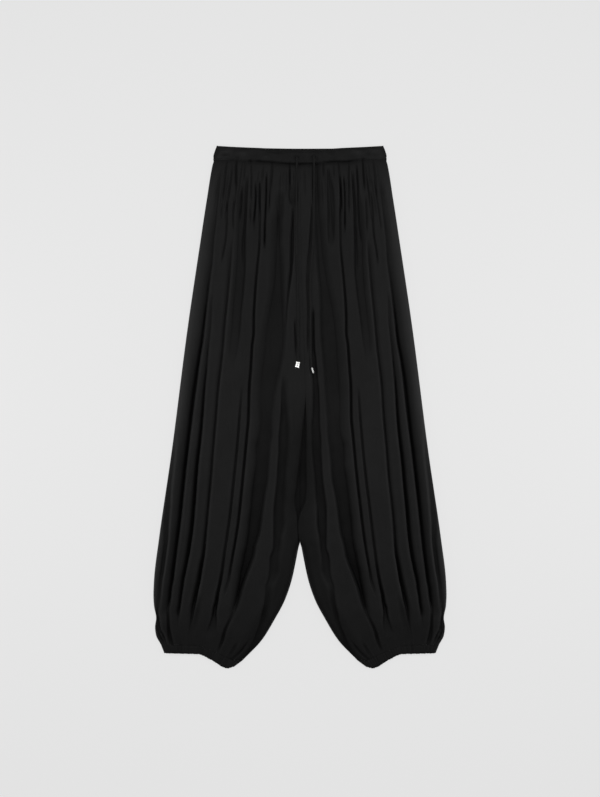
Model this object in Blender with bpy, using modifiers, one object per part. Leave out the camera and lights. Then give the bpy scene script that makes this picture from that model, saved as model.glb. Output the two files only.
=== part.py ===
"""Wide balloon trousers lying flat on their back.

The front legs lie over the back legs, gathered into a drawstring waistband at the top and into an elastic
casing at each ankle. Two drawstring ends with small metal tips lie down the centre front.

Sizes are real ones in millimetres, turned into metres where the meshes are made. "Down" runs from the
waistband's top corners to the ankles, and "out" from the centre line to the side seam of either leg. "Run" is
the way along a leg from the waist seam, at 0, to the ankle casing's seam. +X is the viewer's right, +Y points
to the waist and +Z up from the surface that the trousers lie on.
"""

import math
from collections import namedtuple

import bmesh
import bpy
from mathutils import Euler, Vector
from mathutils.bvhtree import BVHTree

MM = 0.001

# Driving dimensions
LENGTH = 1020.0
LEG_RUN = 940.0
CLOTH = 1.5
BAND_WALL = 2.6
CASING_WALL = 2.4
SEAM_GAP = 0.3
EDGE_LOW = 4.5
EDGE_HIGH = EDGE_LOW + SEAM_GAP
EDGE_ROUND = 13.0
UNDER_ROUND = 7.0
VALLEY_FLOOR = 4.0
SLIT_FLOOR = CLOTH + 2 * SEAM_GAP

# The waistband's edges, and the dip of its top edge at the centre front
BAND_TOP_OUT = 161.8
BAND_TOP_DIP = 5.3
BACK_TOP_DIP = 3.4
BAND_TOP_CURVE = 1.6
BAND_LIFT = 8.4
BAND_TOP_FALL = 1.6
BAND_TOP_ROUND = 0.25
BAND_SLOPE = 0.5
BAND_SIDE_ROUND = 9.0
BAND_PUCKER = 0.5
WAIST_SEAM_DOWN = 35.8
BAND_SIDE = ((0.0, BAND_TOP_OUT), (17.6, 167.2), (27.4, 169.0), (WAIST_SEAM_DOWN, 167.6))

# Rows of (down, out)
SIDE_SEAM = (
    (WAIST_SEAM_DOWN, 167.9),
    (47.0, 171.2),
    (105.0, 181.7),
    (184.0, 193.8),
    (360.0, 219.8),
    (594.0, 249.9),
    (770.0, 275.5),
    (848.0, 284.8),
    (877.3, 285.9),
    (897.0, 284.9),
    (922.0, 280.6),
    (940.0, 282.8),
    (955.0, 281.0),
    (974.5, 271.0),
)
# The back legs' inner edges: together at the centre as far as the fork, then apart
FORK_DOWN = 779.6
BACK_INSEAM = (
    (WAIST_SEAM_DOWN, 0.0),
    (FORK_DOWN, 0.0),
    (809.0, 7.2),
    (848.0, 16.2),
    (887.0, 29.7),
    (926.0, 50.4),
    (965.0, 74.5),
    (1005.0, 112.5),
)
# The centre front seam leans to the viewer's right as far as its end, the crotch, where the front legs part
CROTCH_DOWN = 487.0
CENTRE_SEAM = ((WAIST_SEAM_DOWN, 0.0), (240.0, 3.0), (CROTCH_DOWN, 11.0))
LEFT_INSEAM = (
    (CROTCH_DOWN, -11.0),
    (537.0, -8.4),
    (580.0, -4.4),
    (623.0, 0.4),
    (665.0, 5.4),
    (705.0, 10.4),
    (780.0, 14.0),
    (822.0, 14.8),
    (848.0, 17.6),
    (887.0, 29.7),
    (926.0, 50.4),
    (965.0, 74.5),
    (1005.0, 112.5),
)
RIGHT_INSEAM = (
    (CROTCH_DOWN, 11.0),
    (560.0, 10.2),
    (673.0, 10.8),
    (780.0, 12.4),
    (822.0, 13.6),
    (848.0, 17.2),
    (887.0, 29.7),
    (926.0, 50.4),
    (965.0, 74.5),
    (1005.0, 112.5),
)

# The ankle: rows of share across the leg, and where the casing's seam and its hem lie there
AnkleRow = namedtuple("AnkleRow", "share seam_out seam_down hem_out hem_down")
ANKLE = (
    AnkleRow(0.000, 112.5, 1005.0, 129.0, 1017.0),
    AnkleRow(0.100, 129.0, 1004.0, 141.0, LENGTH),
    AnkleRow(0.360, 167.0, 986.5, 174.5, 1003.0),
    AnkleRow(0.535, 194.0, 975.5, 199.0, 992.6),
    AnkleRow(0.785, 235.0, 973.0, 235.0, 991.6),
    AnkleRow(1.000, 271.0, 974.5, 264.8, 990.7),
)

# How high the ridges of the front stand, in rows of (run, height)
LOFT = (
    (0.0, 8.2),
    (25.0, 11.0),
    (80.0, 12.6),
    (220.0, 14.0),
    (420.0, 15.0),
    (620.0, 16.6),
    (790.0, 18.6),
    (855.0, 19.6),
    (895.0, 18.4),
    (922.0, 14.2),
    (LEG_RUN, 10.4),
)
CASING_LOFT = 8.8
CASING_PLEAT = 1.1
CASING_FALL = 1.4

# The front's folds, from the centre out. waist, middle and ankle are shares of the leg's width; start and end
# are runs; inner and outer are the half-widths of the crease's two sides
Fold = namedtuple("Fold", "name cells waist middle ankle start end depth_start depth_end inner outer")
FOLDS = (
    Fold("centre_front", 4, 0.105, 0.125, 0.100, 10.0, 905.0, 0.55, 0.60, 6.0, 7.0),
    Fold("thigh_valley", 6, 0.280, 0.285, 0.360, 200.0, 885.0, 0.35, 0.85, 13.0, 10.0),
    Fold("knee_inner", 4, 0.390, 0.415, 0.455, 120.0, 860.0, 0.75, 0.80, 5.0, 6.0),
    Fold("knee_outer", 4, 0.475, 0.495, 0.535, 440.0, 905.0, 0.45, 0.75, 4.5, 5.0),
    Fold("panel_middle", 4, 0.575, 0.580, 0.610, 150.0, 640.0, 0.35, 0.30, 6.0, 6.0),
    Fold("calf", 4, 0.680, 0.680, 0.690, 180.0, 905.0, 0.40, 0.85, 5.0, 5.5),
    Fold("side_inner", 4, 0.775, 0.785, 0.785, 380.0, 875.0, 0.80, 0.95, 4.5, 5.0),
    Fold("side_outer", 4, 0.868, 0.877, 0.868, 90.0, 870.0, 0.55, 1.00, 5.0, 5.5),
)
LAST_CELLS = 6
FADE_IN = 90.0
FADE_OUT = 60.0
# A crease is a narrow valley in a wide one: the narrow one's share of the depth, and the other's width to it
CREASE_NARROW = 0.65
CREASE_WIDEN = 2.6
# Columns crowd towards a rounded edge
CROWD = 1.6

# Over what length the front's edges part below the crotch and settle below the fork, and the back's curl up
PART_OVER = 70.0
SETTLE_FROM = 20.0
SETTLE_OVER = 42.0
CURL_OVER = 45.0

# Small gathers between the folds, at both ends of the leg
WAIST_GATHER = ((0.0, 2.2), (70.0, 2.0), (210.0, 0.0))
ANKLE_GATHER = ((845.0, 0.0), (905.0, 2.2), (LEG_RUN, 2.6))
GATHER_ROOM = 4.0

# Where the rows of a leg lie, as shares of its run. One is at the widest place, another at the fork
ROWS = (
    0.0, 0.014, 0.045, 0.09, 0.15, 0.22, 0.30, 0.38, 0.4656, 0.505, 0.55, 0.62,
    0.69, 0.73, 0.7675, 0.80, 0.835, 0.865, 0.8965, 0.925, 0.945, 0.965, 0.985, 1.0,
)  # fmt: skip
UNDER_COLUMNS = (0.0, 1.3, 3.6, UNDER_ROUND)
CASING_ROWS = (0.0, 0.3, 0.7, 1.0)
CASING_CELLS = 5
BAND_ROWS = (0.0, 0.06, 0.2, 0.5, 0.8, 1.0)
BAND_COLUMNS = (
    0.0, 0.055, 0.11, 0.165, 0.22, 0.30, 0.38, 0.46, 0.54, 0.62, 0.70, 0.78, 0.85, 0.91, 0.955, 0.985, 1.0,
)  # fmt: skip

# The drawstring's two ends, in rows of (x, down), and their metal tips
CORD_DIAMETER = 3.8
CORD_LEFT = (
    (-5.9, 24.0), (-6.3, 52.0), (-6.8, 99.0), (-7.0, 161.0), (-6.3, 208.0), (-4.7, 263.0), (-3.7, 318.0),
    (-3.3, 365.0), (-3.1, 400.0), (-3.4, 422.7),
)  # fmt: skip
CORD_RIGHT = (
    (27.3, 22.5), (27.2, 60.0), (27.1, 99.0), (27.0, 130.0), (26.4, 161.0), (25.4, 193.0), (24.4, 208.0),
    (22.9, 224.0), (21.7, 240.0), (20.7, 255.0), (20.1, 271.0), (19.9, 286.0), (20.2, 302.0), (20.6, 365.0),
    (20.8, 396.0), (21.3, 412.0), (22.3, 434.2),
)  # fmt: skip
CORD_POINTS = 40
CORD_ROOT = 5.4
EYELET_RADIUS = 3.0
EYELET_CUT = 30.0
TIP_WIDTH = 8.4
TIP_LENGTH = 10.8
TIP_THICKNESS = 3.2
TIP_WAIST = 0.8
TIP_BEVEL = 0.5
TIP_GAP = 0.5
# How far each tip leans from straight down, in degrees towards the viewer's right
TIP_LEAN_LEFT = -13.0
TIP_LEAN_RIGHT = 16.0

CLOTH_BLACK = (0.0135, 0.0135, 0.0138, 1.0)
METAL_SILVER = (0.86, 0.86, 0.85, 1.0)


def slope_at(rows, i):
    """Slope of the smooth curve through rows at row i: none at a peak or a dip, so nothing overshoots."""
    steps = [
        (rows[k + 1][1] - rows[k][1]) / (rows[k + 1][0] - rows[k][0])
        for k in (i - 1, i)
        if 0 <= k < len(rows) - 1
    ]
    if len(steps) == 1:
        return steps[0]
    if steps[0] * steps[1] <= 0:
        return 0.0
    return 2 * steps[0] * steps[1] / (steps[0] + steps[1])


def curve_at(rows, at):
    """Value at a place on the smooth curve through rows of (place, value)."""
    if at <= rows[0][0]:
        return rows[0][1]
    if at >= rows[-1][0]:
        return rows[-1][1]
    i = max(k for k in range(len(rows) - 1) if rows[k][0] <= at)
    step = rows[i + 1][0] - rows[i][0]
    t = (at - rows[i][0]) / step
    a = slope_at(rows, i) * step
    b = slope_at(rows, i + 1) * step
    rise = rows[i + 1][1] - rows[i][1]
    return rows[i][1] + a * t + (3 * rise - 2 * a - b) * t * t + (a + b - 2 * rise) * t**3


def line_at(rows, at):
    """Value at a place on the straight runs between rows of (place, value)."""
    i = max(k for k in range(len(rows) - 1) if rows[k][0] <= at)
    (start, first), (end, last) = rows[i], rows[i + 1]
    return mix(first, last, (at - start) / (end - start))


def smooth(t):
    t = min(max(t, 0.0), 1.0)
    return t * t * (3 - 2 * t)


def mix(a, b, t):
    return a + (b - a) * t


def quarter_round(distance, radius):
    """Rises from 0 at an edge to 1 at radius inside it, as a quarter of a circle does."""
    t = 1 - min(max(distance / radius, 0.0), 1.0)
    return math.sqrt(1 - t * t)


def point(x, down, z):
    """A point in metres from millimetres in the garment's own terms."""
    return Vector((x, LENGTH / 2 - down, z)) * MM


# The leg's plan


def ankle_point(share, line):
    """(out, down) on the casing's seam, which has straight runs, or on its hem."""
    through = line_at if line == "seam" else curve_at
    out = through([(r.share, getattr(r, line + "_out")) for r in ANKLE], share)
    down = through([(r.share, getattr(r, line + "_down")) for r in ANKLE], share)
    return out, down


def inner_edge(side, down):
    """How far out a front leg's inner edge lies: on the centre seam, then free."""
    if down <= CROTCH_DOWN:
        return side * curve_at(CENTRE_SEAM, down)
    return curve_at(LEFT_INSEAM if side < 0 else RIGHT_INSEAM, down)


def back_inner_edge(down):
    return curve_at(BACK_INSEAM, down)


def leg_edges(inner_out, along):
    """(out, down) of a leg's inner edge and of its side seam, part of the way along."""
    inner_down = mix(WAIST_SEAM_DOWN, ANKLE[0].seam_down, along)
    outer_down = mix(WAIST_SEAM_DOWN, ANKLE[-1].seam_down, along)
    return (inner_out(inner_down), inner_down), (curve_at(SIDE_SEAM, outer_down), outer_down)


def leg_point(inner_out, share, along):
    """(out, down) in a leg's plan, a patch between the waist seam, inner edge, ankle and side seam."""
    inner, outer = leg_edges(inner_out, along)
    waist_width = SIDE_SEAM[0][1]
    top = (share * waist_width, WAIST_SEAM_DOWN)
    bottom = ankle_point(share, "seam")
    upper = ((0.0, WAIST_SEAM_DOWN), (waist_width, WAIST_SEAM_DOWN))
    lower = (ankle_point(0.0, "seam"), ankle_point(1.0, "seam"))
    found = []
    for axis in (0, 1):
        edges = mix(inner[axis], outer[axis], share) + mix(top[axis], bottom[axis], along)
        upper_line = mix(upper[0][axis], upper[1][axis], share)
        lower_line = mix(lower[0][axis], lower[1][axis], share)
        found.append(edges - mix(upper_line, lower_line, along))
    return found


def leg_width(inner_out, along):
    inner, outer = leg_edges(inner_out, along)
    return outer[0] - inner[0]


# The front's folds


def fold_share(fold, along):
    """Where a fold lies across the leg: a parabola through its places at waist, middle and ankle."""
    t = along
    return fold.waist * (1 - t) * (1 - 2 * t) + fold.middle * 4 * t * (1 - t) + fold.ankle * t * (2 * t - 1)


def fold_depth(fold, run):
    if not fold.start < run < fold.end:
        return 0.0
    depth = mix(fold.depth_start, fold.depth_end, (run - fold.start) / (fold.end - fold.start))
    return depth * smooth((run - fold.start) / FADE_IN) * smooth((fold.end - run) / FADE_OUT)


def crease(distance, width):
    s = distance / width
    wide = s / CREASE_WIDEN
    return CREASE_NARROW * math.exp(-s * s) + (1 - CREASE_NARROW) * math.exp(-wide * wide)


def front_columns():
    """The front's columns, as (line before, share of the way to the next line, is a gather's valley)."""
    columns = []
    for i, cells in enumerate([fold.cells for fold in FOLDS] + [LAST_CELLS]):
        columns += [(i, step / cells, step % 2 == 0) for step in range(cells)]
    return columns + [(len(FOLDS), 1.0, True)]


def column_share(line, part, along):
    lines = [0.0] + [fold_share(fold, along) for fold in FOLDS] + [1.0]
    if line == 0:
        part = part**CROWD
    if line == len(FOLDS):
        part = 1 - (1 - part) ** CROWD
    return mix(lines[line], lines[line + 1], part)


def front_height(share, along, width, valley):
    """Height of the front's outer face above the surface."""
    run = along * LEG_RUN
    kept = 1.0
    for fold in FOLDS:
        off = (share - fold_share(fold, along)) * width
        kept *= 1 - fold_depth(fold, run) * crease(off, fold.outer if off > 0 else fold.inner)
    height = VALLEY_FLOOR + (curve_at(LOFT, run) - VALLEY_FLOOR) * kept
    if valley:
        gather = curve_at(WAIST_GATHER, run) + curve_at(ANKLE_GATHER, run)
        height -= gather * min(1.0, (height - VALLEY_FLOOR) / GATHER_ROOM)
    return mix(EDGE_HIGH, height, quarter_round((1 - share) * width, EDGE_ROUND))


def parted(down):
    """0 where the two front legs meet at the centre seam, 1 where each one's inner edge turns down."""
    return smooth((down - CROTCH_DOWN) / PART_OVER)


def inner_edge_height(down):
    """The inner edge comes down on the back leg, and below the fork on the back leg's upturned edge."""
    return mix(SLIT_FLOOR, EDGE_HIGH, smooth((down - FORK_DOWN - SETTLE_FROM) / SETTLE_OVER))


# Walls


def plan_slope(before, after):
    """How far a row runs down for each step across, none where it turns back."""
    across = after[0] - before[0]
    if abs(across) < 1.0:
        return 0.0
    return min(max((after[1] - before[1]) / across, -1.0), 1.0)


def offset_inwards(line, thickness, first, last):
    """The other face of a wall: line moved by thickness to its right-hand side, mitred at corners, and kept
    on the row's own line in plan. first and last are the (x, z) directions in which its two ends move."""
    moved = []
    for i, (x, down, z) in enumerate(line):
        if i == 0:
            way, length = Vector(first), 1.0
        elif i == len(line) - 1:
            way, length = Vector(last), 1.0
        else:
            before = Vector((x - line[i - 1][0], z - line[i - 1][2])).normalized()
            after = Vector((line[i + 1][0] - x, line[i + 1][2] - z)).normalized()
            along = (before + after).normalized()
            way = Vector((along.y, -along.x))
            length = min(1 / max(along.dot(before), 0.1), 1.5)
        way = way.normalized() * thickness * length
        slope = plan_slope(line[max(i - 1, 0)], line[min(i + 1, len(line) - 1)])
        moved.append((x + way.x, down + slope * way.x, z + way.y))
    return moved


def wall(name, outer, inner, material, closed=False):
    """A wall between two grids of points, row by row. closed joins the ends of each row into a ring."""
    mesh = bmesh.new()
    faces_of = []
    for grid in (outer, inner):
        faces_of.append([[mesh.verts.new(point(*p)) for p in row] for row in grid])
    rows, columns = len(outer), len(outer[0])
    steps = range(columns if closed else columns - 1)
    for grid in faces_of:
        for i in range(rows - 1):
            for j in steps:
                k = (j + 1) % columns
                mesh.faces.new((grid[i][j], grid[i][k], grid[i + 1][k], grid[i + 1][j]))
    out, back = faces_of
    for i in (0, rows - 1):
        for j in steps:
            k = (j + 1) % columns
            mesh.faces.new((out[i][j], out[i][k], back[i][k], back[i][j]))
    if not closed:
        for j in (0, columns - 1):
            for i in range(rows - 1):
                mesh.faces.new((out[i][j], out[i + 1][j], back[i + 1][j], back[i][j]))
    bmesh.ops.recalc_face_normals(mesh, faces=mesh.faces)
    if mesh.calc_volume(signed=True) < 0:
        bmesh.ops.reverse_faces(mesh, faces=mesh.faces)
    data = bpy.data.meshes.new(name)
    mesh.to_mesh(data)
    mesh.free()
    data.shade_smooth()
    data.set_sharp_from_angle(angle=math.radians(50))
    data.materials.append(material)
    made = bpy.data.objects.new(name, data)
    PARTS.objects.link(made)
    return made


def mirrored(side, line):
    """Out becomes x: the viewer's left leg is at negative x."""
    return [(side * out, down, z) for out, down, z in line]


# The pieces


def front_leg(name, side, material):
    def inner_out(down):
        return inner_edge(side, down)

    outer, inner = [], []
    for along in ROWS:
        line = []
        width = leg_width(inner_out, along)
        for before, part, valley in front_columns():
            share = column_share(before, part, along)
            out, down = leg_point(inner_out, share, along)
            height = front_height(share, along, width, valley)
            open_edge = parted(down)
            edge = inner_edge_height(down)
            turned = mix(edge, height, quarter_round(share * width, EDGE_ROUND))
            line.append([out, down, mix(height, turned, open_edge)])
        seam = parted(line[0][1])
        line[0][0] += SEAM_GAP / 2
        line[0][2] = mix(line[1][2], line[0][2], seam)
        ends = ((seam, seam - 1), (-1, 0))
        outer.append(mirrored(side, line))
        inner.append(mirrored(side, offset_inwards(line, CLOTH, *ends)))
    return wall(name, outer, inner, material)


def inner_curl(down):
    """0 where the back legs meet at the centre, 1 where each one's inner edge curls up."""
    return smooth((down - FORK_DOWN) / CURL_OVER)


def under_height(distance, curl):
    """Height of the back's underside: flat on the surface, and curling up at an open edge."""
    return EDGE_LOW * curl * (1 - quarter_round(distance, UNDER_ROUND))


def back_leg(name, side, material):
    outer, inner = [], []
    for along in ROWS:
        width = leg_width(back_inner_edge, along)
        line = []
        for distance in UNDER_COLUMNS:
            line.append((distance / width, distance, True))
        for row in ANKLE[1:-1]:
            line.append((row.share, UNDER_ROUND, True))
        for distance in reversed(UNDER_COLUMNS):
            line.append((1 - distance / width, distance, False))
        placed = []
        for share, distance, towards_centre in line:
            out, down = leg_point(back_inner_edge, share, along)
            curl = inner_curl(down) if towards_centre else 1.0
            placed.append([out, down, under_height(distance, curl)])
        curl = inner_curl(placed[0][1])
        placed[0][0] += SEAM_GAP / 2
        ends = ((-curl, curl - 1), (1, 0))
        lifted = offset_inwards(placed, -CLOTH, *ends)
        outer.append(mirrored(side, placed))
        inner.append(mirrored(side, lifted))
    return wall(name, outer, inner, material)


def ankle_casing(name, side, material):
    """The elastic's casing: a ring pressed flat, with small gathers on top and a flat underside."""
    shares = [0.0, 0.012, 0.045]
    for row, following in zip(ANKLE[1:-1], ANKLE[2:]):
        shares += [mix(row.share, following.share, k / CASING_CELLS) for k in range(CASING_CELLS)]
    shares += [0.985, 1.0]
    outer, inner = [], []
    for part in CASING_ROWS:
        top = []
        width = mix(ANKLE[-1].seam_out - ANKLE[0].seam_out, ANKLE[-1].hem_out - ANKLE[0].hem_out, part)
        placed = []
        for share in shares:
            seam_out, seam_down = ankle_point(share, "seam")
            hem_out, hem_down = ankle_point(share, "hem")
            placed.append((mix(seam_out, hem_out, part), mix(seam_down + SEAM_GAP, hem_down, part)))
        for k, (share, (out, down)) in enumerate(zip(shares, placed)):
            distance = min(share, 1 - share) * width
            lift = CASING_LOFT - (CASING_PLEAT if k % 2 else 0.0) - CASING_FALL * part
            top.append((out, down, mix(EDGE_LOW, lift, quarter_round(distance, UNDER_ROUND))))
        flat = []
        for share, (out, down) in reversed(list(zip(shares, placed))[1:-1]):
            flat.append((out, down, under_height(min(share, 1 - share) * width, 1.0)))
        ring = top + flat
        looped = [ring[-1]] + ring + [ring[0]]
        shrunk = offset_inwards(looped, CASING_WALL, (1, 0), (1, 0))[1:-1]
        outer.append(mirrored(side, ring))
        inner.append(mirrored(side, shrunk))
    return wall(name, outer, inner, material, closed=True)


def band_edge(across, dip):
    """(x, down) of the band's top edge: across runs from -1 at the viewer's left to 1."""
    return BAND_TOP_OUT * across, dip * (1 - abs(across) ** BAND_TOP_CURVE)


def band_point(across, part, dip):
    """(x, down) on the band, part of the way from its top edge to the waist seam, bulging at the sides."""
    x, down = band_edge(across, dip)
    low = WAIST_SEAM_DOWN - SEAM_GAP
    side = curve_at(BAND_SIDE, mix(0.0, low, part)) / BAND_TOP_OUT
    return x * side, mix(down, low, part)


def band_height(k, part, distance):
    """Height of the band's front: rounded at its top edge and sides, with small uneven puckers."""
    pucker = BAND_PUCKER * math.sin(2.1 * k + 0.8 * math.sin(0.9 * k)) * math.sin(math.pi * part)
    rounded = BAND_TOP_FALL * (1 - quarter_round(part, BAND_TOP_ROUND))
    crown = BAND_LIFT - rounded - BAND_SLOPE * part + pucker
    return mix(EDGE_HIGH, crown, quarter_round(distance, BAND_SIDE_ROUND))


def waistband(name, front, material):
    """The drawstring's casing, pressed flat: one wall in front and one behind, joined at the side seams."""
    outer, inner = [], []
    columns = [-across for across in reversed(BAND_COLUMNS[1:])] + list(BAND_COLUMNS)
    sign = 1 if front else -1
    for part in BAND_ROWS:
        line = []
        for k, across in enumerate(columns):
            x, down = band_point(across, part, BAND_TOP_DIP if front else BACK_TOP_DIP)
            distance = (1 - abs(across)) * BAND_TOP_OUT
            height = band_height(k, part, distance) if front else under_height(distance, 1.0)
            line.append((x, down, height))
        outer.append(line)
        inner.append(offset_inwards(line, sign * BAND_WALL, (1, 0), (-1, 0)))
    return wall(name, outer, inner, material)


def eyelet(x, down):
    """Cuts the small hole that a drawstring end comes out of through the band's front wall."""
    bpy.ops.mesh.primitive_cylinder_add(
        vertices=12, radius=EYELET_RADIUS * MM, depth=EYELET_CUT * MM, location=point(x, down, BAND_LIFT)
    )
    cutter = bpy.context.object
    cutter.name = "eyelet_cutter"
    cutter.hide_render = True
    cutter.display_type = "WIRE"
    for collection in list(cutter.users_collection):
        collection.objects.unlink(cutter)
    CUTTERS.objects.link(cutter)
    return cutter


def cut(target, cutter):
    modifier = target.modifiers.new("eyelet", "BOOLEAN")
    modifier.operation = "DIFFERENCE"
    modifier.object = cutter


def tree_of(objects):
    """One search tree over the outer faces of several pieces."""
    corners, faces = [], []
    for made in objects:
        first = len(corners)
        corners += [v.co.copy() for v in made.data.vertices]
        faces += [[first + i for i in face.vertices] for face in made.data.polygons]
    return BVHTree.FromPolygons(corners, faces)


def top_of(tree, x, down, reach):
    """Highest cloth within reach of a place, in millimetres above the surface."""
    found = []
    for dx in (-reach, 0.0, reach):
        for dy in (-reach, 0.0, reach):
            hit = tree.ray_cast(point(x + dx, down + dy, 100.0), Vector((0, 0, -1)))[0]
            if hit:
                found.append(hit.z / MM)
    return max(found)


def spread(rows, count):
    """count points evenly along the smooth line through rows of (x, down)."""
    flipped = [(down, x) for x, down in rows]
    first, last = flipped[0][0], flipped[-1][0]
    downs = [mix(first, last, k / (count - 1)) for k in range(count)]
    return [(curve_at(flipped, down), down) for down in downs]


def drawstring(name, rows, tree, material):
    """A free end of the drawstring: up out of its eyelet, over the band's edge and down on the folds."""
    radius = CORD_DIAMETER / 2
    laid = []
    for x, down in spread(rows, CORD_POINTS)[1:]:
        laid.append((x, down, top_of(tree, x, down, radius) + radius + SEAM_GAP))
    level = [p[2] for p in laid]
    for i in range(1, len(laid) - 1):
        rest = max(level[i], 0.25 * level[i - 1] + 0.5 * level[i] + 0.25 * level[i + 1])
        laid[i] = (laid[i][0], laid[i][1], rest)
    x, down = rows[0]
    high = laid[0][2]
    middle = mix(CORD_ROOT, high, 0.5)
    rise = [(x, down, CORD_ROOT), (x, down, middle), (x, down + 1.2, high - 0.6), (x, down + 3.6, high + 0.3)]
    points = rise + laid
    curve = bpy.data.curves.new(name, "CURVE")
    curve.dimensions = "3D"
    curve.bevel_depth = radius * MM
    curve.bevel_resolution = 2
    curve.use_fill_caps = True
    curve.materials.append(material)
    spline = curve.splines.new("POLY")
    spline.points.add(len(points) - 1)
    for target, p in zip(spline.points, points):
        target.co = (*point(*p), 1.0)
    made = bpy.data.objects.new(name, curve)
    PARTS.objects.link(made)
    return points


def metal_tip(name, end, lean, on_edge, tree, material):
    """The small metal piece crimped on a drawstring's end, waisted in the middle, flat or on its edge."""
    bpy.ops.mesh.primitive_cube_add(size=1)
    tip = bpy.context.object
    tip.name = name
    mesh = bmesh.new()
    mesh.from_mesh(tip.data)
    bmesh.ops.scale(mesh, vec=Vector((TIP_WIDTH, TIP_LENGTH, TIP_THICKNESS)) * MM, verts=mesh.verts)
    long_edges = [e for e in mesh.edges if abs(e.verts[0].co.y - e.verts[1].co.y) > TIP_LENGTH * MM / 2]
    bmesh.ops.subdivide_edges(mesh, edges=long_edges, cuts=3)
    for v in mesh.verts:
        if abs(v.co.y) < TIP_LENGTH * MM / 10:
            v.co.x *= TIP_WAIST
    mesh.to_mesh(tip.data)
    mesh.free()
    bevel = tip.modifiers.new("rounded", "BEVEL")
    bevel.width = TIP_BEVEL * MM
    bevel.segments = 2
    bevel.limit_method = "ANGLE"
    tip.data.materials.append(material)
    way = Vector((math.sin(math.radians(lean)), -math.cos(math.radians(lean))))
    reach = TIP_LENGTH / 2 + TIP_GAP
    x = end[0] + way.x * reach
    down = end[1] - way.y * reach
    half_height = (TIP_WIDTH if on_edge else TIP_THICKNESS) / 2
    rest = top_of(tree, x, down, TIP_LENGTH / 2) + half_height + SEAM_GAP
    tip.location = point(x, down, rest)
    turn = math.atan2(way.y, way.x) - math.pi / 2
    roll = math.pi / 2 if on_edge else 0.0
    tip.rotation_euler = Euler((0.0, roll, turn))
    for collection in list(tip.users_collection):
        collection.objects.unlink(tip)
    PARTS.objects.link(tip)


def clear_scene():
    for made in list(bpy.data.objects):
        bpy.data.objects.remove(made)


def new_collection(name):
    made = bpy.data.collections.new(name)
    bpy.context.scene.collection.children.link(made)
    return made


def plain_material(name, colour, roughness, metallic):
    made = bpy.data.materials.new(name)
    made.use_nodes = True
    shader = made.node_tree.nodes["Principled BSDF"]
    shader.inputs["Base Color"].default_value = colour
    shader.inputs["Roughness"].default_value = roughness
    shader.inputs["Metallic"].default_value = metallic
    return made


def build():
    cloth = plain_material("black_crepe", CLOTH_BLACK, 0.85, 0.0)
    cord = plain_material("black_cord", CLOTH_BLACK, 0.75, 0.0)
    metal = plain_material("silver_metal", METAL_SILVER, 0.25, 1.0)
    fronts = [front_leg("front_left", -1, cloth), front_leg("front_right", 1, cloth)]
    back_leg("back_left", -1, cloth)
    back_leg("back_right", 1, cloth)
    ankle_casing("ankle_casing_left", -1, cloth)
    ankle_casing("ankle_casing_right", 1, cloth)
    waistband("waistband_back", False, cloth)
    band = waistband("waistband_front", True, cloth)
    tree = tree_of(fronts + [band])
    ends = (("left", CORD_LEFT, TIP_LEAN_LEFT, False), ("right", CORD_RIGHT, TIP_LEAN_RIGHT, True))
    for name, rows, lean, on_edge in ends:
        cut(band, eyelet(*rows[0]))
        points = drawstring("drawstring_" + name, rows, tree, cord)
        metal_tip("cord_tip_" + name, points[-1], lean, on_edge, tree, metal)


clear_scene()
PARTS = new_collection("balloon_trousers")
CUTTERS = new_collection("cutters")
build()
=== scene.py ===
"""Looks of the laid balloon trousers: thin cloth shells with their creases, the drawstring and the ground.

Sizes are millimetres in the garment's own terms, as in the part's source. "Down" runs from the waistband's
top corners to the ankles, "out" from the centre line to the side seam of either leg, and "run" along a leg
from the waist seam to the ankle casing's seam.
"""

import math
from collections import namedtuple

import bmesh
import bpy
import numpy as np
from mathutils import Euler, Matrix, Vector
from mathutils.bvhtree import BVHTree


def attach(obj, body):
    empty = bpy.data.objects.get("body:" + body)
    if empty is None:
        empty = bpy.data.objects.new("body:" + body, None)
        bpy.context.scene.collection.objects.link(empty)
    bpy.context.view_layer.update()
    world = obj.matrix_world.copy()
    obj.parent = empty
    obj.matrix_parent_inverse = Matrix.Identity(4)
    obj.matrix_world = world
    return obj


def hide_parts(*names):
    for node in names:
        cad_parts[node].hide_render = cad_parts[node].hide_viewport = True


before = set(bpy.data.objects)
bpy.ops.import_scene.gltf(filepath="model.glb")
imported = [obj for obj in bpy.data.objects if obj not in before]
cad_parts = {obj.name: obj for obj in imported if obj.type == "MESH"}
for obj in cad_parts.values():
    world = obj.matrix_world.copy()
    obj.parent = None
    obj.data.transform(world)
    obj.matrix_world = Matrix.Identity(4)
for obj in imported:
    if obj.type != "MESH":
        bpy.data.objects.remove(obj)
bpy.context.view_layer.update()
MM = 0.001

# The garment's own sizes
LENGTH = 1020.0
LEG_RUN = 940.0
WAIST_SEAM_DOWN = 35.8
CROTCH_DOWN = 487.0
FORK_DOWN = 779.6
SEAM_GAP = 0.3

# The cloth's shells: how thick they are, how high their edges lie and how wide they round towards them
SHELL = 1.1
SHELL_LEAST = 0.55 * SHELL
EDGE_LOW = 4.5
EDGE_HIGH = EDGE_LOW + SEAM_GAP
EDGE_ROUND = 13.0
INNER_ROUND = 0.8 * EDGE_ROUND
UNDER_ROUND = 7.0
VALLEY_FLOOR = 3.7
SHARP_ANGLE = 80
BAND_CROWN = 8.9
SEAM_CROWN = 8.5
CASING_CROWN = 9.2

# The slit between the fronts below the crotch. A pair is a soft step's start and its length: down the leg,
# or out from the inner edge for the bank. The last step starts from the fork
SLIT_FLOOR = 2.4
INNER_LOWEST = SLIT_FLOOR - 0.1
SLIT_PARTS = 70.0
SLIT_CLOSED = 0.88
SLIT_CLOSES = (700.0, 34.0)
SLIT_OPENS = (768.0, 26.0)
SLIT_SINK = 0.42
SLIT_BANK = (16.0, 26.0)
CROTCH_EASE = (430.0, 200.0)
FORK_SETTLES = (20.0, 42.0)

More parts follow.
